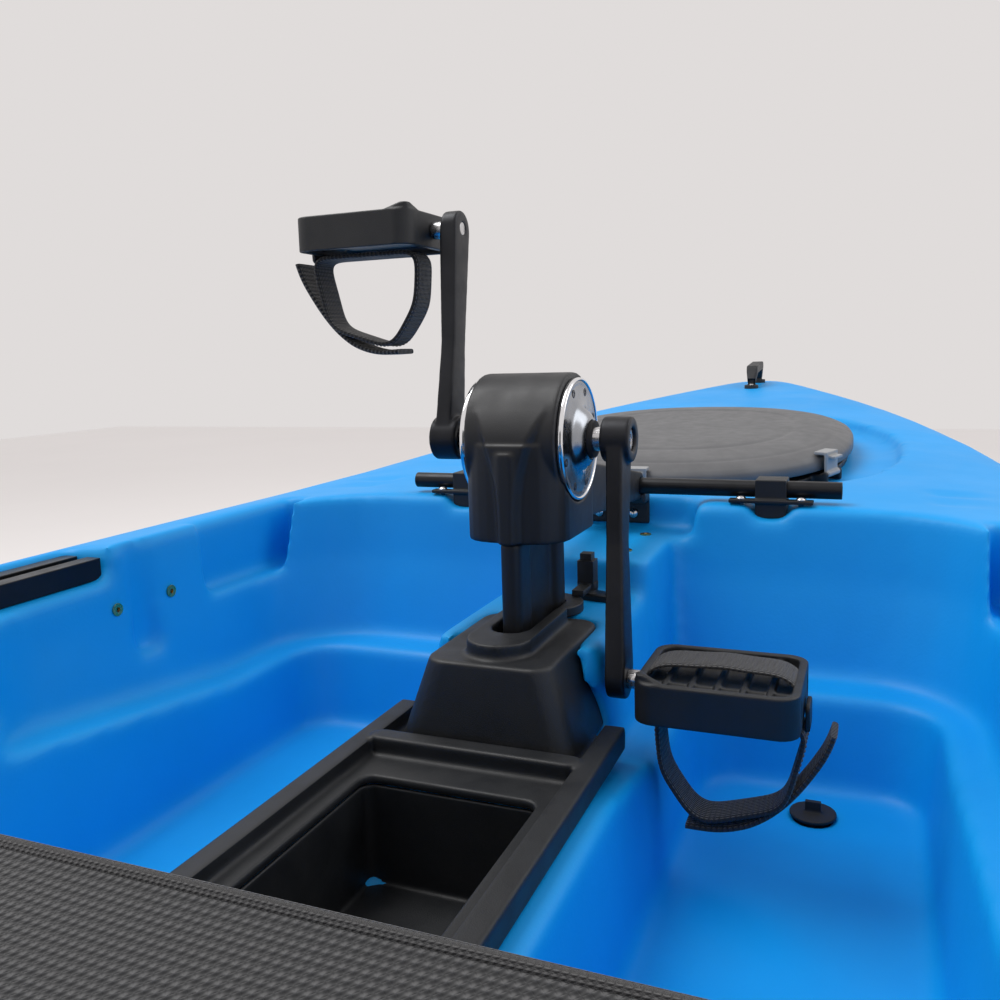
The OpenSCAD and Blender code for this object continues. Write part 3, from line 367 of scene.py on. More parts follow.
STEEL = finish(
    "stainless_steel", ((0.58, 0.58, 0.59), (0.70, 0.70, 0.71)), (0.18, 0.32), metal=1.0, drift=60.0
)
BOLT_DARK = finish(
    "dark_bolt_steel", ((0.05, 0.05, 0.055), (0.09, 0.09, 0.095)), (0.3, 0.45), metal=0.8, drift=80.0
)
BRASS = finish(
    "insert_brass", ((0.52, 0.36, 0.12), (0.66, 0.48, 0.18)), (0.22, 0.36), metal=1.0, drift=90.0
)
BRONZE = finish(
    "gear_bronze", ((0.30, 0.22, 0.12), (0.40, 0.30, 0.17)), (0.3, 0.45), metal=1.0, drift=60.0
)
print(len(bpy.data.materials), "finishes")

# %% [markdown]
# ### Cloth finishes
# Webbing and mesh cloth follow the piece, so their weave is drawn on the piece's own UV map,
# which is measured in metres: u runs across the cloth and v along it.


# %% Build a weave
def weave(name, tones, across, along, rough, depth=0.0009):
    """Two sets of threads, sine ridges crossing at right angles. across and along are threads per
    metre of u and v."""
    made = bpy.data.materials.new(name)
    made.use_nodes = True
    tree = made.node_tree
    n, link = tree.nodes, tree.links.new
    shader = n["Principled BSDF"]
    shader.inputs["Sheen Weight"].default_value = 0.25
    shader.inputs["Sheen Roughness"].default_value = 0.5
    shader.inputs["Specular IOR Level"].default_value = 0.35
    place = n.new("ShaderNodeUVMap")
    place.uv_map = "cloth"
    split = n.new("ShaderNodeSeparateXYZ")
    link(place.outputs["UV"], split.inputs["Vector"])

    def ridges(axis, per_metre, shift):
        turn = n.new("ShaderNodeMath")
        turn.operation = "MULTIPLY_ADD"
        turn.inputs[1].default_value = per_metre * math.tau
        turn.inputs[2].default_value = shift
        link(split.outputs[axis], turn.inputs[0])
        wave = n.new("ShaderNodeMath")
        wave.operation = "SINE"
        link(turn.outputs[0], wave.inputs[0])
        return wave.outputs[0]

    def combine(operation, first, second):
        node = n.new("ShaderNodeMath")
        node.operation = operation
        link(first, node.inputs[0])
        link(second, node.inputs[1])
        return node.outputs[0]

    u, v = ridges("X", across, 0.0), ridges("Y", along, 0.7)
    thread = combine("MAXIMUM", u, v)
    cross = combine("MULTIPLY", u, v)
    height = combine("ADD", thread, cross)
    spread = n.new("ShaderNodeMapRange")
    spread.inputs["From Min"].default_value, spread.inputs["From Max"].default_value = -1.0, 2.0
    link(height, spread.inputs["Value"])
    fibre = n.new("ShaderNodeTexNoise")
    where = n.new("ShaderNodeTexCoord")
    link(where.outputs["Object"], fibre.inputs["Vector"])
    fibre.inputs["Scale"].default_value = 60.0
    fibre.inputs["Detail"].default_value = 5
    mixed = n.new("ShaderNodeMath")
    mixed.operation = "MULTIPLY"
    link(spread.outputs["Result"], mixed.inputs[0])
    lift = n.new("ShaderNodeMapRange")
    lift.inputs["To Min"].default_value, lift.inputs["To Max"].default_value = 0.6, 1.25
    link(fibre.outputs["Fac"], lift.inputs["Value"])
    link(lift.outputs["Result"], mixed.inputs[1])
    # Painted shade: the colour follows the thread height. It is darker where the threads dip between each
    # other and lighter on their crowns.
    ramp = n.new("ShaderNodeValToRGB")
    ramp.color_ramp.elements[0].color = (*tones[0], 1)
    ramp.color_ramp.elements[1].color = (*tones[1], 1)
    link(mixed.outputs[0], ramp.inputs["Fac"])
    link(ramp.outputs["Color"], shader.inputs["Base Color"])
    dull = n.new("ShaderNodeMapRange")
    dull.inputs["To Min"].default_value, dull.inputs["To Max"].default_value = rough
    link(fibre.outputs["Fac"], dull.inputs["Value"])
    link(dull.outputs["Result"], shader.inputs["Roughness"])
    bump = n.new("ShaderNodeBump")
    bump.inputs["Strength"].default_value = 0.75
    bump.inputs["Distance"].default_value = depth
    link(height, bump.inputs["Height"])
    link(bump.outputs["Normal"], shader.inputs["Normal"])
    return made


WEBBING = weave(
    "strap_webbing", ((0.004, 0.004, 0.005), (0.03, 0.031, 0.034)), 420.0, 260.0, (0.62, 0.8)
)
SLING_CLOTH = weave(
    "sling_mesh_cloth", ((0.004, 0.0045, 0.005), (0.045, 0.047, 0.052)), 240.0, 240.0, (0.6, 0.8)
)
PIPING = weave(
    "sling_edge_tape", ((0.006, 0.006, 0.007), (0.035, 0.036, 0.04)), 600.0, 300.0, (0.55, 0.75)
)
THREAD = finish(
    "grey_stitching", ((0.10, 0.105, 0.11), (0.17, 0.175, 0.18)), (0.5, 0.7), (0.2, 3000.0)
)
print("cloth finishes ready")

# %% [markdown]
# ## The hull
# A kayak hull is blown or rotated in a mould, so it is one hollow skin with no sharp edge on
# it. Bevelling a boolean mesh breaks at its slivers, so the outer skin is rebuilt as even
# voxels and relaxed instead, which rounds every rim, pan and pocket by a few millimetres.
# Where the inner surface can be parted from the outer one, it is set aside and cut out again.
# At present it cannot be: INSERTS has the wall inserts 10 mm inboard of where the CAD has them,
# so no hollow is found. The voxels fill the inside, and the hull is solid but for its holes.

# %% Part the outer skin from the hollow
HATCH_AT = np.array([0.86, 0.0, 0.366])
HATCH_TILT = math.radians(3.3)
HATCH_A, HATCH_B = 0.28506, 0.21664
POWER = 2.3
HOLE_INSET = 0.032
HOLE_A, HOLE_B = HATCH_A - HOLE_INSET, HATCH_B - HOLE_INSET
HOLE_BAND = 0.02
HOLE_LOW, HOLE_HIGH = -0.03, -0.015


def oval(angle, a, b):
    """Points of a superellipse: a |cos|^(2/2.3) and b |sin|^(2/2.3), with the signs of cos and sin."""
    c, s = np.cos(angle), np.sin(angle)
    return a * np.sign(c) * np.abs(c) ** (2 / POWER), b * np.sign(s) * np.abs(s) ** (2 / POWER)


def to_hatch(points):
    """Points in the hatch's own frame: moved to its centre and turned back by its tilt."""
    x, y, z = (np.asarray(points, float) - HATCH_AT).T
    c, s = math.cos(HATCH_TILT), math.sin(HATCH_TILT)
    return np.stack([c * x + s * z, y, -s * x + c * z], axis=-1)


def from_hatch(points):
    """Points of the hatch's own frame, placed on the boat."""
    x, y, z = np.asarray(points, float).reshape(-1, 3).T
    c, s = math.cos(HATCH_TILT), math.sin(HATCH_TILT)
    return np.stack([c * x - s * z, y, s * x + c * z], axis=-1) + HATCH_AT


INSERTS = [((x, side * 0.038, 0.316), (0, 0, 1)) for side in (1, -1) for x in (0.386, 0.462)]
INSERTS += [((x, side * 0.3305, 0.292), (0, -side, 0)) for side in (1, -1) for x in (0.162, 0.226)]
INSERT_WALL = (0.0042, 0.013)
DRAIN = ((-1.73, 0.0, 0.33), (0, 0, 1))
DRAIN_WALL = (0.0104, 0.04)


def near_line(points, centre, axis, radius, reach):
    """Which points are within radius of a line and within reach of its centre along it."""
    offset = points - np.array(centre)
    along = offset @ np.array(axis, float)
    away = np.linalg.norm(offset - along[..., None] * np.array(axis, float), axis=-1)
    return (away < radius) & (np.abs(along) < reach)


shell = merged_copy("hull_shell", "hull_work")
mesh = shell.data
points = corners_of(mesh)
flat = np.empty(len(mesh.polygons) * 3, np.int32)
mesh.polygons.foreach_get("vertices", flat)
triangles = flat.reshape(-1, 3)
local = to_hatch(points)
oval_x, oval_y = (np.abs(local[:, 0]) / HOLE_A) ** POWER, (np.abs(local[:, 1]) / HOLE_B) ** POWER
on_hole = np.abs(oval_x + oval_y - 1) < HOLE_BAND
on_hole &= (local[:, 2] < HOLE_HIGH) & (local[:, 2] > HOLE_LOW)
link_faces = on_hole[triangles].all(axis=1)
for centre, axis in INSERTS:
    link_faces |= near_line(points, centre, axis, *INSERT_WALL)[triangles].all(axis=1)
link_faces |= near_line(points, *DRAIN, *DRAIN_WALL)[triangles].all(axis=1)
wall_count = int(link_faces.sum())
print("hull has", len(triangles), "triangles,", wall_count, "of them in the walls of its holes")


def connected(point_count, pairs):
    """Labels points by the lowest number they are joined to, spreading until nothing changes."""
    label = np.arange(point_count)
    while True:
        low = label.copy()
        np.minimum.at(low, pairs[:, 0], label[pairs[:, 1]])
        np.minimum.at(low, pairs[:, 1], label[pairs[:, 0]])
        low = low[low]
        if (low == label).all():
            return label
        label = low


kept = triangles[~link_faces]
label = connected(len(points), np.concatenate([kept[:, :2], kept[:, 1:]]))
outer_label = label[points[:, 0].argmax()]


def closed_mesh(name, faces):
    """A mesh of these faces with its holes filled flat and its faces turned outwards."""
    work = bmesh.new()
    used, index = np.unique(faces, return_inverse=True)
    raw = bpy.data.meshes.new(name + "_raw")
    raw.from_pydata(points[used].tolist(), [], index.reshape(-1, 3).tolist())
    work.from_mesh(raw)
    edges = [e for e in work.edges if len(e.link_faces) < 2]
    bmesh.ops.holes_fill(work, edges=edges, sides=0)
    bmesh.ops.triangulate(work, faces=work.faces)
    bmesh.ops.recalc_face_normals(work, faces=work.faces)
    made = bpy.data.meshes.new(name)
    work.to_mesh(made)
    work.free()
    bpy.data.meshes.remove(raw)
    piece = place_mesh(name, made)
    print(name, len(made.polygons), "faces,", len(edges), "open edges filled")
    return piece


outside = label[kept[:, 0]] == outer_label
skin = closed_mesh("hull_moulding", kept[outside])
hollow = closed_mesh("hull_hollow", kept[~outside])
bpy.data.objects.remove(shell)

# %% [markdown]
# ### Rounding and hollowing the skin
# The thin walls beside the console tower are thickened first, where the tower hides them.
# The voxels are 5 mm, about the size of the real edge radii. Thinning keeps the points where
# the surface turns and drops them where it is flat. The holes are cut last, so that their
# edges stay crisp as drilled edges do.


# %% Round the skin, then cut the hollow and the holes
def prism(name, outlines):
    """Closed prisms in one mesh. Each outline is a low and a high ring of points, capped flat."""
    corners, faces = [], []
    for low, high in outlines:
        count, base = len(low), len(corners)
        corners += [*map(tuple, low), *map(tuple, high)]
        faces += (grid_quads(2, count) + base).tolist()
        faces += [list(range(base, base + count)), list(range(base + 2 * count - 1, base + count - 1, -1))]
    made = bpy.data.meshes.new(name)
    made.from_pydata([[float(v) for v in c] for c in corners], [], faces)
    work = bmesh.new()
    work.from_mesh(made)
    bmesh.ops.recalc_face_normals(work, faces=work.faces)
    work.to_mesh(made)
    work.free()
    return place_mesh(name, made)


def ring_about(centre, axis, radius, low, high, count=24):
    """Two rings of points about an axis, at low and high along it."""
    n = np.array(axis, float)
    side = np.cross(n, (0.3, 0.5, 0.8))
    side /= np.linalg.norm(side)
    turn = np.arange(count) * math.tau / count
    ring = radius * (np.cos(turn)[:, None] * side + np.sin(turn)[:, None] * np.cross(n, side))
    return [np.array(centre) + ring + n * reach for reach in (low, high)]


def combine_solids(piece, other, operation):
    """Adds another closed mesh to a piece (UNION) or takes it away (DIFFERENCE), and removes it."""
    step = piece.modifiers.new("solids", "BOOLEAN")
    step.object = other
    step.operation = operation
    step.solver = "MANIFOLD"
    settle(piece)
    bpy.data.objects.remove(other)


CHEEK_FOOT = ((0.2125, 0.058), (0.273, 0.058), (0.273, 0.0690), (0.2125, 0.0690))
CHEEK_HEAD = ((0.2125, 0.044), (0.270, 0.044), (0.270, 0.0625), (0.2125, 0.0625))
FOOT_Z, HEAD_Z = 0.221, 0.2835
HULL_VOXEL = 0.005
HULL_ROUNDS = 7
HULL_KEEP = 0.24
HULL_SHARP = 40
HATCH_CUT = (-0.055, 0.02)
DRAIN_CUT = (0.010, -0.03, 0.03)
INSERT_CUT = (0.004, -0.0125, 0.004)

cheeks = []
for side in (1, -1):
    foot = [(x, side * y, FOOT_Z) for x, y in CHEEK_FOOT]
    head = [(x, side * y, HEAD_Z) for x, y in CHEEK_HEAD]
    cheeks.append((np.array(foot), np.array(head)))
combine_solids(skin, prism("tower_cheeks", cheeks), "UNION")
mould(skin, HULL_VOXEL, HULL_ROUNDS, HULL_KEEP)
print("rounded skin", len(skin.data.polygons), "faces")
combine_solids(skin, hollow, "DIFFERENCE")
rim = np.linspace(0, math.tau, 64, endpoint=False)
hole_x, hole_y = oval(rim, HOLE_A, HOLE_B)
hatch_hole = [from_hatch(np.stack([hole_x, hole_y, 0 * rim + z], axis=1)) for z in HATCH_CUT]
holes = [hatch_hole, ring_about(*DRAIN, *DRAIN_CUT)]
holes += [ring_about(centre, axis, *INSERT_CUT) for centre, axis in INSERTS]
combine_solids(skin, prism("hull_holes", holes), "DIFFERENCE")
finish_piece(skin, "boat", HULL_BLUE, ("hull_shell",), HULL_SHARP)
print("hull moulding", len(skin.data.polygons), "faces")

# %% [markdown]
# ## Bodies
# The imported record says which body each node rides on and which material slot it fills; the
# pieces below look up their bodies by the name of the node they stand for.


# %% Look up bodies
BODY = {node: body for body, nodes in frame["record"]["behaviour"]["bodies"].items() for node in nodes}
COARSE = 1.0


def mould_all(table):
    """Moulds each row of a table: node, finish, voxel in mm, rounds of relaxing and share kept."""
    for node, surface, voxel, rounds, keep in table:
        moulded(node, BODY[node], surface, voxel * COARSE, rounds, keep)


def machine_all(table):
    """Machines each node of a table of node, finish and width of the broken edge in mm."""
    for node, surface, bevel in table:
        machined(node, BODY[node], surface, bevel)
    print(len(table), "machined pieces")


# %% [markdown]
# ## Black and grey mouldings
# Injection-moulded plastic has radii of a millimetre or so on every edge. Small clips and
# levers get fine voxels; the console and the leg get coarser ones.

# %% Mould the deck fittings
mould_all([
    ("hatch_ring", BLACK_PLASTIC, 1.6, 3, 0.3),
    ("latch_aft", LATCH_GREY, 0.8, 2, 0.4),
    ("latch_port", LATCH_GREY, 0.8, 2, 0.4),
    ("latch_starboard", LATCH_GREY, 0.8, 2, 0.4),
    ("bar_clip_port", BLACK_PLASTIC, 0.7, 3, 0.4),
    ("bar_clip_starboard", BLACK_PLASTIC, 0.7, 3, 0.4),
    ("dock_bracket", BLACK_PLASTIC, 1.1, 3, 0.35),
    ("scupper_plugs", RUBBER, 1.0, 2, 0.35),
    ("handle_bow", BLACK_PLASTIC, 1.0, 3, 0.4),
    ("handle_stern", BLACK_PLASTIC, 1.0, 3, 0.4),
])

# %% Mould the drive
mould_all([
    ("console", BLACK_PLASTIC, 1.7, 2, 0.3),
    ("console_tray", BLACK_PLASTIC, 1.3, 3, 0.3),
    ("column_collar", HOUSING_BLACK, 0.8, 2, 0.4),
    ("drive_leg", HOUSING_BLACK, 1.7, 4, 0.3),
    ("crank_arm_port", ARM_METAL, 0.8, 12, 0.4),
    ("crank_arm_starboard", ARM_METAL, 0.8, 12, 0.4),
    ("pedal_port", BLACK_PLASTIC, 0.9, 3, 0.35),
    ("pedal_starboard", BLACK_PLASTIC, 0.9, 3, 0.35),
])

# %% Mould the gear housing with its spine
def raise_spine(mesh):
    """Pushes the aft face back by up to 5 mm, inside a half width of 10 mm that flares to 30 mm
    towards the top."""
    points = corners_of(mesh)
    climb = np.clip((points[:, 2] - 0.368) / 0.085, 0, 1)
    half = 0.010 + 0.020 * climb**2.2
    rise = np.clip((half - np.abs(points[:, 1])) / 0.006, 0, 1)
    rise = rise * rise * (3 - 2 * rise)
    aft = np.clip((0.218 - points[:, 0]) / 0.012, 0, 1)
    top = np.clip((0.462 - points[:, 2]) / 0.035, 0, 1)
    points[:, 0] -= 0.005 * rise * aft * top * top * (3 - 2 * top)
    set_corners(mesh, points)


housing = mould(merged_copy("gear_housing", "gear_housing_moulding"), 1.0 * COARSE * MM, 6)
raise_spine(housing.data)
relax(housing.data, 3)
thin_out(housing, 0.35)
finish_piece(housing, "boat", HOUSING_BLACK, ("gear_housing",), MOULDED_SHARP)
print("gear housing", len(housing.data.polygons), "faces")

# %% Mould the rudder and its lever
mould_all([
    ("rudder_blade", BLACK_PLASTIC, 1.5, 3, 0.35),
    ("steer_base", BLACK_PLASTIC, 0.9, 2, 0.35),
    ("steer_lever", BLACK_PLASTIC, 0.8, 3, 0.35),
])

# %% [markdown]
# ## Turned and drawn metal
# Bars, screws, shafts and tubes keep the CAD node's own shape, and so do the closely fitting
# cheeks of the rudder and the lock, which must not swell into each other. Their loose
# triangles are joined, round faces are shaded smooth, and sharp edges get a small bevel
# where the table gives one.

# %% Machine the metal
machine_all([
    ("gear_rail_port", RAIL_BLACK, 0.6), ("gear_rail_starboard", RAIL_BLACK, 0.6),
    ("cross_bar", RAIL_BLACK, 0.5), ("rail_screws", STEEL, 0), ("dome_screws", STEEL, 0),
    ("brass_inserts", BRASS, 0.25), ("hatch_pins", STEEL, 0.3), ("hatch_gasket", RUBBER, 0.6),
    ("axle_seals", RUBBER, 0.3), ("crank_bearings", STEEL, 0.4),
    ("crank_axle", STEEL, 0.4), ("crank_gear", BRONZE, 0), ("crank_bolts", STEEL, 0.3),
    ("spindle_port", STEEL, 0.3), ("spindle_starboard", STEEL, 0.3), ("drive_shaft", STEEL, 0),
    ("shaft_bushes", BRASS, 0.3), ("prop_shaft", STEEL, 0.3), ("prop_bushes", BRASS, 0.3),
    ("prop_nut", STEEL, 0), ("seat_track_port", RAIL_BLACK, 0.4), ("seat_track_starboard", RAIL_BLACK, 0.4),
    ("seat_frame", TUBE_ALLOY, 0), ("back_frame", TUBE_ALLOY, 0),
    ("rudder_bracket", BLACK_PLASTIC, 0.5), ("rudder_head", BLACK_PLASTIC, 0.5),
    ("lock_base", HOUSING_BLACK, 0.3), ("lock_lever", BLACK_PLASTIC, 0.3),
])

# %% [markdown]
# ## Polished discs
# Each side of the gear housing ends in a polished disc: a raised rim, a shallow dish with
# eight bolts in it, and a domed hub round the axle. It is a turned shape.

# %% Turn the discs
AXLE_AT = np.array([0.25, 0.0, 0.43])
DISC_COLUMNS = 96


def turned(profile, columns=DISC_COLUMNS):
    """Points of a shape turned about the Y axis: (r cos t, y, r sin t) for each (r, y) in mm of a
    closed profile."""
    r, y = np.array(profile, float).T * MM
    t = np.arange(columns) * math.tau / columns
    return np.stack([
        r[:, None] * np.cos(t), np.repeat(y[:, None], columns, 1), r[:, None] * np.sin(t)
    ], axis=2)


DISC = [(14.15, 35.3), (43.2, 35.3), (43.3, 38.9), (42.3, 39.1), (41.2, 38.8), (39.0, 38.9)]
DISC += [(33.0, 39.15), (28.0, 39.6), (25.2, 40.4), (23.6, 41.8)]
DISC += [(21.6, 44.0), (19.6, 45.8), (17.4, 47.2), (15.6, 48.0), (14.7, 48.1), (14.2, 47.6)]
RIM = [(43.4, 35.3), (45.2, 35.2), (45.9, 35.9), (45.95, 38.6)]
RIM += [(45.6, 39.6), (44.7, 40.1), (43.8, 39.8), (43.4, 39.0)]
for side, node in ((1, "disc_port"), (-1, "disc_starboard")):
    points = turned(DISC) * (1, side, 1) + AXLE_AT
    faces = grid_quads(len(DISC), DISC_COLUMNS, wrap_rows=True)[:, ::side]
    make_piece(node + "_turned", points, faces, BODY[node], CHROME, (node,), 40)
    points = turned(RIM) * (1, side, 1) + AXLE_AT
    faces = grid_quads(len(RIM), DISC_COLUMNS, wrap_rows=True)
    make_piece(node + "_rim", points, faces, BODY[node], BRIGHT_RIM, (node,), 60)
print("discs with", len(DISC), "rings each")


# %% Sink the disc bolts
BOLT = [(0.05, 35.4), (2.3, 35.4), (2.35, 38.4), (2.9, 38.7), (3.1, 39.1)]
BOLT += [(2.9, 39.3), (1.5, 39.32), (1.3, 38.9), (0.05, 38.9)]
BOLT_COLUMNS = 20
BOLT_CIRCLE = 0.037
BOLT_COUNT = 8
parts = []
for side in (1, -1):
    for k in range(BOLT_COUNT):
        turn = math.radians((k + 0.5) * 360 / BOLT_COUNT)
        spot = np.array((BOLT_CIRCLE * math.cos(turn), 0, -BOLT_CIRCLE * math.sin(turn)))
        ring = turned(BOLT, BOLT_COLUMNS) * (1, side, 1) + AXLE_AT + spot
        faces = grid_quads(len(BOLT), BOLT_COLUMNS, wrap_rows=True)[:, ::side].tolist()
        parts.append((ring, faces))
points, faces = gather(parts)
node = "disc_bolts"
make_piece(node + "_sunk", points, faces, BODY[node], BOLT_DARK, (node,), 40)
print(len(parts), "sunk bolts")

# %% [markdown]
# ## The hatch lid
# The lid is a shallow shell over a superellipse: a rounded skirt, a crown that rises quickly
# at the edge and flattens, and two pressed grooves round it.

# %% Press the lid
COLUMNS = 192


def lid_ring(scale, height):
    """One ring of the lid in the hatch's own frame: a superellipse of that scale at that height."""
    angle = np.arange(COLUMNS) * math.tau / COLUMNS
    x, y = oval(angle, HATCH_A * scale, HATCH_B * scale)
    return np.stack([x, y, np.broadcast_to(height, x.shape)], axis=1)


def crown(scale):
    """Height of the crown, less pressed grooves at 0.66 and 0.9 of the size."""
    inward = (1 - scale) * HATCH_B
    groove = 0.0016 * np.exp(-(((scale - 0.66) / 0.022) ** 2))
    groove = groove + 0.0010 * np.exp(-(((scale - 0.9) / 0.012) ** 2))
    return 0.0093 + 0.0140 * (1 - np.exp(-inward / 0.018)) - groove


SCALE_RUNS = ((0.02, 0.6, 18), (0.61, 0.72, 16), (0.735, 0.985, 30))
inside = np.concatenate([np.linspace(*run) for run in SCALE_RUNS])
under = [lid_ring(s, crown(s) - 0.0042) for s in inside[::3]]
skirt = [lid_ring(0.978, 0.004), lid_ring(0.982, -0.0028), lid_ring(0.988, -0.0038), lid_ring(0.995, -0.0036)]
skirt += [lid_ring(1.0, -0.0024), lid_ring(1.0, 0.0035), lid_ring(0.9985, 0.0068), lid_ring(0.994, 0.0088)]
over = [lid_ring(s, crown(s)) for s in inside[::-1]]
rings = np.array(under + skirt + over)
points = from_hatch(rings.reshape(-1, 3))
faces = grid_quads(len(rings), COLUMNS).tolist()
faces += [list(range(COLUMNS))[::-1], list(range((len(rings) - 1) * COLUMNS, len(rings) * COLUMNS))]
faces = [face[::-1] for face in faces]
make_piece("hatch_lid_pressed", points, faces, "lid", LID_GREY, ("hatch_lid",), 50)
print("lid", len(faces), "faces")


# %% Add the lid's hinge ears
def pebble(centre, size, power=5.0, rows=17, columns=32):
    """A closed block with soft edges: |x/a|^p + |y/b|^p + |z/c|^p = 1, where a, b and c are half
    of size. It is drawn by latitude and longitude."""
    lat = np.linspace(-math.pi / 2, math.pi / 2, rows)[1:-1, None]
    lon = (np.arange(columns) * math.tau / columns)[None, :]
    ray_x, ray_y = np.cos(lat) * np.cos(lon), np.cos(lat) * np.sin(lon)
    ray = np.stack([ray_x, ray_y, np.sin(lat) + 0 * lon], axis=2).reshape(-1, 3)
    ray = np.concatenate([ray, [[0, 0, -1.0], [0, 0, 1.0]]])
    ray /= (np.abs(ray) ** power).sum(axis=1, keepdims=True) ** (1 / power)
    points = ray * np.array(size) / 2 + np.array(centre)
    faces = grid_quads(rows - 2, columns)[:, ::-1].tolist()
    south, north, last = len(ray) - 2, len(ray) - 1, (rows - 3) * columns
    faces += [[south, (j + 1) % columns, j] for j in range(columns)]
    faces += [[north, last + j, last + (j + 1) % columns] for j in range(columns)]
    return points, faces


ears = [pebble((HATCH_A - 0.0015, side * 0.06, 0.002), (0.031, 0.018, 0.0115), 6.0) for side in (1, -1)]
points, faces = gather(ears)
faces = [face[::-1] for face in faces]
make_piece("hatch_lid_ears", from_hatch(points), faces, "lid", LID_GREY, ("hatch_lid",))
print("hinge ears", len(faces), "faces")

# %% [markdown]
# ## Pedal straps
# Each strap is one band of webbing that loops under its pedal. Its path is the outline that
# a tight band would take round five pegs, and its section is a thin rounded rectangle.


# %% Lay the straps
def round_pegs(pegs, count):
    """Points of the tight outline round pegs (z, y, r), then eased, and the outline's length. Each
    direction takes the peg that reaches furthest that way."""
    turn = np.linspace(0, math.tau, 1440, endpoint=False)
    way = np.stack([np.cos(turn), np.sin(turn)], axis=1)
    pegs = np.array(pegs, float)
    reach = way @ pegs[:, :2].T + pegs[:, 2]
    best = reach.argmax(axis=1)
    ring = pegs[best, :2] + pegs[best, 2:3] * way
    step = np.linalg.norm(np.roll(ring, -1, axis=0) - ring, axis=1)
    run = np.concatenate([[0], np.cumsum(step)])
    loop = np.concatenate([ring, ring[:1]])
    at = np.linspace(0, run[-1], count, endpoint=False)
    even = np.stack([np.interp(at, run, loop[:, k]) for k in range(2)], axis=1)
    for _ in range(90):
        even += 0.25 * (np.roll(even, 1, axis=0) + np.roll(even, -1, axis=0) - 2 * even)
    return even, run[-1]


def cloth_uv(piece, u, v):
    """Writes metres across (u) and along (v) the cloth, one pair a corner point, to its UV map."""
    mesh = piece.data
    layer = mesh.uv_layers.new(name="cloth")
    corner = np.empty(len(mesh.loops), np.int32)
    mesh.loops.foreach_get("vertex_index", corner)
    layer.data.foreach_set("uv", np.stack([u[corner], v[corner]], axis=1).astype(np.float32).ravel())


def band_section(width, thick, count=28):
    """A closed section, flat across and round at its edges: |2x / width|^8 + |2z / thick|^(8/3) = 1."""
    a = np.arange(count) * math.tau / count
    return (
        width / 2 * np.sign(np.cos(a)) * np.abs(np.cos(a)) ** 0.25,
        thick / 2 * np.sign(np.sin(a)) * np.abs(np.sin(a)) ** 0.75,
    )


PEDAL_Y, PEDAL_W, HALF_H = 98.0, 107.0, 14.0
Y0, Y1 = PEDAL_Y + 8, PEDAL_Y + PEDAL_W + 4
PEGS = [(-HALF_H - 6, Y0 + 4.8, 3.3), (-HALF_H - 6, Y1 - 4.8, 3.3), (-HALF_H - 42, Y0 + 15, 10.5)]
PEGS += [(-HALF_H - 66, Y0 + 34, 12.5), (-HALF_H - 52, Y1 - 26, 12.5)]
ROWS = 260
loop_path, loop_length = round_pegs(PEGS, ROWS)
loop_path, loop_length = loop_path * MM, loop_length * MM
along = np.roll(loop_path, -1, axis=0) - np.roll(loop_path, 1, axis=0)
along /= np.linalg.norm(along, axis=1, keepdims=True)
outward = np.stack([along[:, 1], -along[:, 0]], axis=1)
across_x, depth = band_section(0.0290, 0.0038)
TILT = math.radians(14.6)
CRANK = 0.1725
STRAPS = ((1, "strap_port"), (-1, "strap_starboard"))


def pedal_at(side):
    """Where the pedal's own frame sits: at the end of its crank arm."""
    return AXLE_AT + side * CRANK * np.array((math.sin(TILT), 0.0, math.cos(TILT)))


for side, node in STRAPS:
    ripple = 1 + 0.02 * np.sin(np.arange(ROWS) * math.tau * 5 / ROWS + side)
    z = loop_path[:, 0, None] + outward[:, 0, None] * depth
    y = loop_path[:, 1, None] + outward[:, 1, None] * depth
    x = np.broadcast_to(across_x, z.shape) * ripple[:, None]
    points = np.stack([x, y * side, z], axis=2).reshape(-1, 3) + pedal_at(side)
    faces = grid_quads(ROWS, len(depth), wrap_rows=True)[:, ::side]
    strap = make_piece(node + "_webbing", points, faces, BODY[node], WEBBING, (node,))
    v = np.repeat(np.arange(ROWS) * loop_length / ROWS, len(depth))
    cloth_uv(strap, np.tile(across_x, ROWS), v)
print("straps", len(faces), "faces each,", round(loop_length * 1000), "mm round")


# %% Add the loose ends and the bands over the treads
STRIP_ROWS = 90


def strip(path, width_x, thick_z, sway=0.0):
    """A flat band along an open path of (y, z) in mm, with capped ends. Its section stands on the
    path's normal, and it leans fore and aft by sway sin(pi s) mm on the way."""
    knots = np.array(path, float) * MM
    run = np.concatenate([[0], np.cumsum(np.linalg.norm(np.diff(knots, axis=0), axis=1))])
    at = np.linspace(0, run[-1], STRIP_ROWS)
    line = np.stack([np.interp(at, run, knots[:, k]) for k in range(2)], axis=1)
    for _ in range(60):
        line[1:-1] += 0.25 * (line[2:] + line[:-2] - 2 * line[1:-1])
    way = np.gradient(line, axis=0)
    way /= np.linalg.norm(way, axis=1, keepdims=True)
    normal = np.stack([-way[:, 1], way[:, 0]], axis=1)
    x, d = band_section(width_x * MM, thick_z * MM)
    lean = sway * MM * np.sin(math.pi * np.linspace(0, 1, STRIP_ROWS))
    y, z = (line[:, k, None] + normal[:, k, None] * d for k in range(2))
    points = np.stack([x[None, :] + lean[:, None], y, z], axis=2)
    faces = grid_quads(STRIP_ROWS, len(x)).tolist()
    last = (STRIP_ROWS - 1) * len(x)
    faces += [list(range(len(x)))[::-1], list(range(last, last + len(x)))]
    return points.reshape(-1, 3), faces, np.tile(x, STRIP_ROWS), np.repeat(at, len(x))


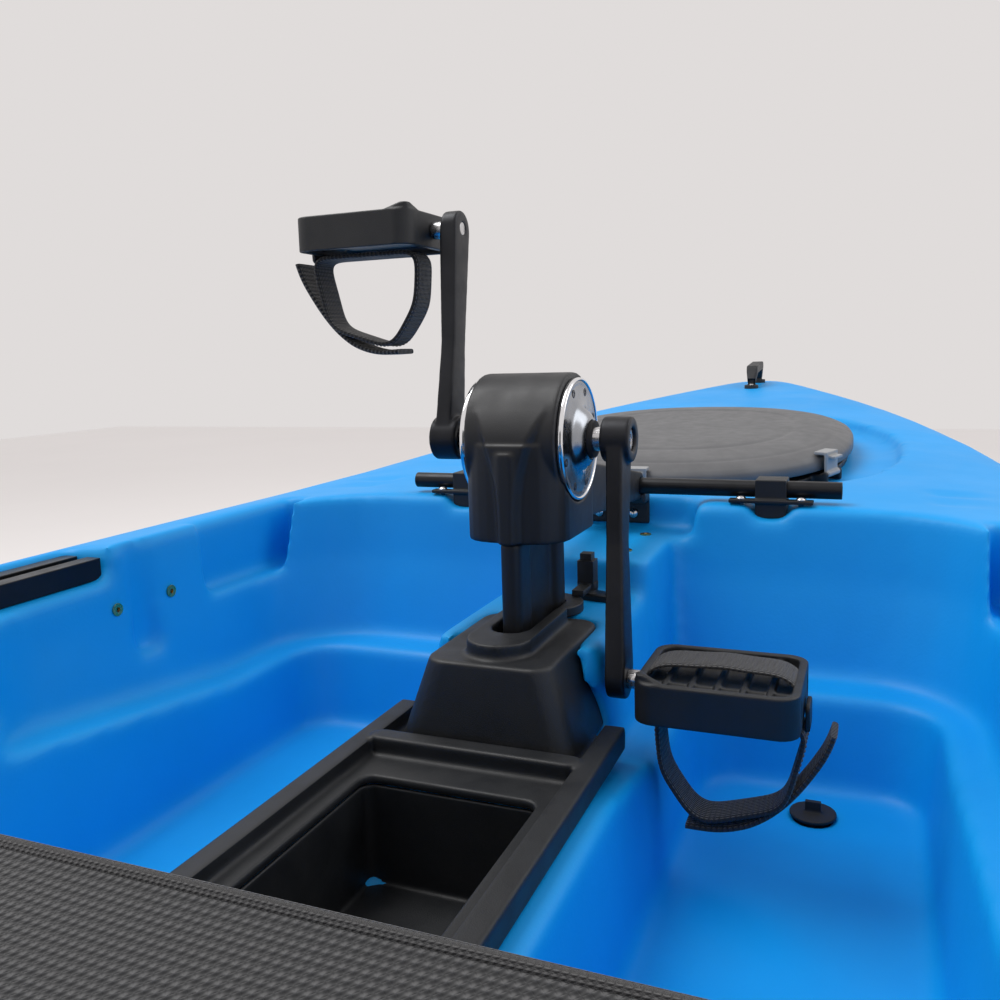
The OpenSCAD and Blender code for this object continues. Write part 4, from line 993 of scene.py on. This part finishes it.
TAIL = [(128, -97.5), (150, -98.5), (172, -92), (190, -78), (203, -62), (213, -46), (221, -32), (224, -20)]
OVER = [(101, 9), (104, 15.2), (116, 17.4), (134, 16.6), (152, 18.0)]
OVER += [(170, 16.7), (188, 17.6), (199, 15.4), (202, 9)]
BANDS = (("tail", TAIL, 28.0, 4.4, 3.0), ("tread_band", OVER, 33.0, 2.8, 7.0))
for side, node in STRAPS:
    for label, path, wide, thick, sway in BANDS:
        points, faces, u, v = strip(path, wide, thick, sway)
        points = points * (1, side, 1) + pedal_at(side)
        band = make_piece(f"{node}_{label}", points, faces, BODY[node], WEBBING, (node,), 60)
        cloth_uv(band, u, v)
print("loose ends and tread bands on both pedals")


# %% Stitch the straps and add their buckles
STITCH_RINGS, STITCH_SIDES = 5, 6
STITCH_EDGE = 0.0108
STITCH_LIFT = 0.0018


def stitches(middles, ways, normals, length=0.0026, thick=0.0007):
    """One small spindle a stitch, laid along each way: rings whose radius is thick times a sine."""
    s = np.linspace(0, math.pi, STITCH_RINGS)
    ring = np.arange(STITCH_SIDES) * math.tau / STITCH_SIDES
    third = np.cross(ways, normals)
    radius = thick * np.maximum(np.sin(s), 0.05)
    offset = (
        (-np.cos(s) * length / 2)[None, :, None, None] * ways[:, None, None, :]
        + radius[None, :, None, None] * np.cos(ring)[None, None, :, None] * normals[:, None, None, :]
        + radius[None, :, None, None] * np.sin(ring)[None, None, :, None] * third[:, None, None, :]
    )
    points = middles[:, None, None, :] + offset
    each, last = STITCH_RINGS * STITCH_SIDES, (STITCH_RINGS - 1) * STITCH_SIDES
    base = np.arange(len(middles)) * each
    faces = (grid_quads(STITCH_RINGS, STITCH_SIDES)[None] + base[:, None, None]).reshape(-1, 4).tolist()
    for k in base.tolist():
        faces += [list(range(k, k + STITCH_SIDES))[::-1], list(range(k + last, k + each))]
    return points.reshape(-1, 3), [face[::-1] for face in faces]


pick = np.arange(0, ROWS, 3)
for side, node in STRAPS:
    sets = []
    for edge in (-STITCH_EDGE, STITCH_EDGE):
        middle = np.stack([np.full(len(pick), edge), loop_path[pick, 1] * side, loop_path[pick, 0]], axis=1)
        way = np.stack([np.zeros(len(pick)), along[pick, 1] * side, along[pick, 0]], axis=1)
        out = np.stack([np.zeros(len(pick)), outward[pick, 1] * side, outward[pick, 0]], axis=1)
        sets += [stitches(middle + out * STITCH_LIFT + pedal_at(side), way, out)]
    points, faces = gather(sets)
    make_piece(node + "_stitching", points, faces, BODY[node], THREAD, (node,))
    centre = pedal_at(side) + (0, side * (Y1 - 1.4) * MM, (-HALF_H - 6 + (HALF_H + 4) / 2) * MM)
    points, faces = pebble(centre, (0.0236, 0.0034, (HALF_H + 4.5) * MM), 7.0)
    faces = [face[::-1] for face in faces]
    make_piece(node + "_buckle", points, faces, BODY[node], BLACK_PLASTIC, (node,))
print("stitching on both straps")

# %% [markdown]
# ## Seat and back slings
# Both slings are mesh cloth pulled tight over their tubes. Across the seat the cloth follows
# one tube, sags a little, and follows the other. An edge tape is sewn round each.


# %% Stretch the slings
HALF_CLOTH = 0.0007
HEM_SIDES = 12


def sling(name, node, half, tube, sag, low, high, place):
    """A stretched sheet, wrapped down a circle of radius tube at each side. Between them it sags by
    sin(pi t)^0.8 along, times (1 - (y/half)^2)^1.3 across. low and high are its ends along the
    tubes, and place puts its own frame on the boat."""
    turn = np.linspace(0, 1.35, 10)[1:]
    side_y = half + tube * np.sin(turn)
    side_z = tube * np.cos(turn) - tube
    flat_y = np.linspace(-half, half, 61)
    y = np.concatenate([-side_y[::-1], flat_y, side_y])
    drop = np.concatenate([side_z[::-1], 0 * flat_y, side_z])
    x = np.linspace(low, high, 49)
    t = (x - low) / (high - low)
    belly = (np.sin(math.pi * t) ** 0.8)[:, None] * (np.clip(1 - (y / half) ** 2, 0, 1) ** 1.3)[None, :]
    height = drop[None, :] - sag * belly
    surface = np.stack([np.repeat(x[:, None], len(y), 1), np.repeat(y[None, :], len(x), 0), height], axis=2)
    du, dv = np.gradient(surface, axis=1), np.gradient(surface, axis=0)
    normal = np.cross(dv, du)
    normal /= np.linalg.norm(normal, axis=2, keepdims=True)
    normal *= np.sign(normal[:, 30:31, 2:3])
    rows, columns = surface.shape[:2]
    sheets = [surface + normal * HALF_CLOTH, surface - normal * HALF_CLOTH]
    cloth = np.concatenate([sheet.reshape(-1, 3) for sheet in sheets])
    top = grid_quads(rows, columns, wrap_columns=False)
    faces = top.tolist() + (top[:, ::-1] + rows * columns).tolist()
    grid = np.arange(rows * columns).reshape(rows, columns)
    rim = np.concatenate([grid[0, :-1], grid[:-1, -1], grid[-1, :0:-1], grid[:0:-1, 0]])
    nxt, under = np.roll(rim, -1), rows * columns
    faces += np.stack([nxt, rim, rim + under, nxt + under], axis=1).tolist()
    piece = make_piece(name, place(cloth), faces, BODY[node], SLING_CLOTH, (node,), 60)
    run = np.concatenate([[0], np.cumsum(np.hypot(np.diff(y), np.diff(drop)))])
    u, v = np.tile(run, rows), np.repeat(x - low, columns)
    cloth_uv(piece, np.tile(u, 2), np.tile(v, 2))
    edge = surface.reshape(-1, 3)[rim]
    edge_normal = normal.reshape(-1, 3)[rim]
    way = np.roll(edge, -1, axis=0) - np.roll(edge, 1, axis=0)
    way /= np.linalg.norm(way, axis=1, keepdims=True)
    third = np.cross(way, edge_normal)
    a = np.arange(HEM_SIDES) * math.tau / HEM_SIDES
    tape = edge[:, None, :] + 0.0016 * np.cos(a)[None, :, None] * edge_normal[:, None, :]
    tape = tape + 0.0036 * np.sin(a)[None, :, None] * third[:, None, :]
    tape = place(tape.reshape(-1, 3))
    loops = grid_quads(len(rim), HEM_SIDES, wrap_rows=True)
    hem = make_piece(name + "_tape", tape, loops, BODY[node], PIPING, (node,))
    hem_u = np.tile(np.arange(HEM_SIDES) * 0.0015, len(rim))
    cloth_uv(hem, hem_u, np.repeat(np.arange(len(rim)) * 0.01, HEM_SIDES))
    print(name, len(faces), "faces, cut", round(run[-1] * 1000), "by", round((high - low) * 1000), "mm")
    return piece


SEAT_X, TUBE_Z = -0.520, 0.300
BACK = math.radians(14)


def on_seat(points):
    """The seat sling's own frame is level, with its zero on top of the side tubes."""
    return points + np.array((0, 0, TUBE_Z + 0.0122))


def on_back(points):
    """The back sling's own frame stands up: its x runs up the uprights, its z forward from them."""
    along, y, ahead = points.T
    ahead = ahead + 0.0112
    c, s = math.cos(BACK), math.sin(BACK)
    return np.stack([SEAT_X + c * ahead - s * along, y, TUBE_Z + s * ahead + c * along], axis=1)


sling("seat_sling_cloth", "seat_sling", 0.246, 0.0118, 0.013, -0.498, -0.176, on_seat)
sling("back_sling_cloth", "back_sling", 0.222, 0.0108, 0.014, 0.062, 0.416, on_back)

# %% [markdown]
# ## The propeller
# Two blades sweep out of a turned hub. A blade's chord swells and then closes to a round
# tip, and its pitch turns from steep at the hub to flat at the tip.

# %% Shape the propeller
PROP_AT = np.array([0.146, 0.0, -0.15])
BLADE_ROWS, BLADE_SIDES = 40, 28


def blade(flip):
    """A blade: cambered ellipses of half chord 30 (0.8 + 0.9 t (1 - t)) (1 - t^5)^0.5 mm, pitched
    58 + 34 t degrees. flip is 1 or -1, for the upper or the lower blade."""
    t = np.linspace(0, 0.998, BLADE_ROWS)
    chord = 0.030 * (0.80 + 0.9 * t * (1 - t)) * np.sqrt(1 - t**5)
    thick = 0.0040 * (1 - 0.62 * t) * np.sqrt(1 - t**8)
    pitch = np.radians(58 + 34 * t)
    a = np.arange(BLADE_SIDES) * math.tau / BLADE_SIDES
    along = chord[:, None] * np.cos(a)
    depth = thick[:, None] * np.sin(a) + 0.0018 * (1 - (along / chord[:, None]) ** 2)
    x = along * np.cos(pitch)[:, None] - depth * np.sin(pitch)[:, None]
    y = along * np.sin(pitch)[:, None] + depth * np.cos(pitch)[:, None]
    z = np.repeat((0.010 + 0.115 * t)[:, None], BLADE_SIDES, 1)
    faces = grid_quads(BLADE_ROWS, BLADE_SIDES).tolist()
    last = (BLADE_ROWS - 1) * BLADE_SIDES
    faces += [list(range(BLADE_SIDES))[::-1], list(range(last, last + BLADE_SIDES))]
    return np.stack([x, y * flip, z * flip], axis=2).reshape(-1, 3) + PROP_AT, faces


HUB = [(6.0, -15.6), (13.5, -16), (15.4, -14.8), (16, -12), (16, 12), (15.2, 16), (13.2, 17.8), (6.0, 17.8)]
HUB_COLUMNS = 64
hub = turned(HUB, HUB_COLUMNS)[:, :, [1, 0, 2]] + PROP_AT
hub_faces = grid_quads(len(HUB), HUB_COLUMNS, wrap_rows=True)[:, ::-1]
points, faces = gather([blade(1), blade(-1), (hub, hub_faces)])
make_piece("propeller_blades", points, faces, "screw", BLACK_PLASTIC, ("propeller",), 45)
print("propeller", len(faces), "faces")

# %% [markdown]
# ## Floor, sky and lights
# A plain pale floor and an even pale sky, with one broad light high on the left for shape
# and a softer one on the right.


# %% Light the boat
FLOOR_GAP, FLOOR_HALF, FLOOR_THICK = 0.012, 9, 0.02
floor_z = cad_box[0][2] - FLOOR_GAP
square = ((-1, -1), (1, -1), (1, 1), (-1, 1))
points = np.array(
    [(FLOOR_HALF * x, FLOOR_HALF * y, z) for z in (0, -FLOOR_THICK) for x, y in square], float
)
points[:, 2] += floor_z
floor_mesh = bpy.data.meshes.new("floor")
floor_mesh.from_pydata(
    points.tolist(), [], [(0, 1, 2, 3), (7, 6, 5, 4), (1, 0, 4, 5), (2, 1, 5, 6), (3, 2, 6, 7), (0, 3, 7, 4)]
)
PALE_FLOOR = finish(
    "pale_floor", ((0.93, 0.91, 0.905), (0.95, 0.93, 0.925)), (0.8, 0.9), drift=0.5, specular=0.1
)
floor_mesh.materials.append(PALE_FLOOR)
floor = place_mesh("floor", floor_mesh)

sky = bpy.data.worlds.new("pale_sky")
sky.use_nodes = True
sky.node_tree.nodes["Background"].inputs["Color"].default_value = (0.745, 0.716, 0.708, 1)
sky.node_tree.nodes["Background"].inputs["Strength"].default_value = 1.0
scene.world = sky


def soft_light(name, place, aim, size, power, tint=(1, 1, 1)):
    """A square area light at place, turned to aim."""
    lamp = bpy.data.lights.new(name, "AREA")
    lamp.size, lamp.energy, lamp.color = size, power, tint
    light = bpy.data.objects.new(name, lamp)
    scene.collection.objects.link(light)
    light.location = place
    light.rotation_euler = (Vector(aim) - Vector(place)).to_track_quat("-Z", "Y").to_euler()
    return light


soft_light("key", (0.2, 1.6, 3.2), (0.4, 0, 0.2), 1.8, 62)
soft_light("fill", (1.6, -2.2, 2.4), (0.3, 0, 0.3), 2.2, 26, (0.96, 0.98, 1.0))
scene.view_settings.view_transform = "Standard"
scene.view_settings.look = "None"
print("floor at", round(floor_z, 3), "m")
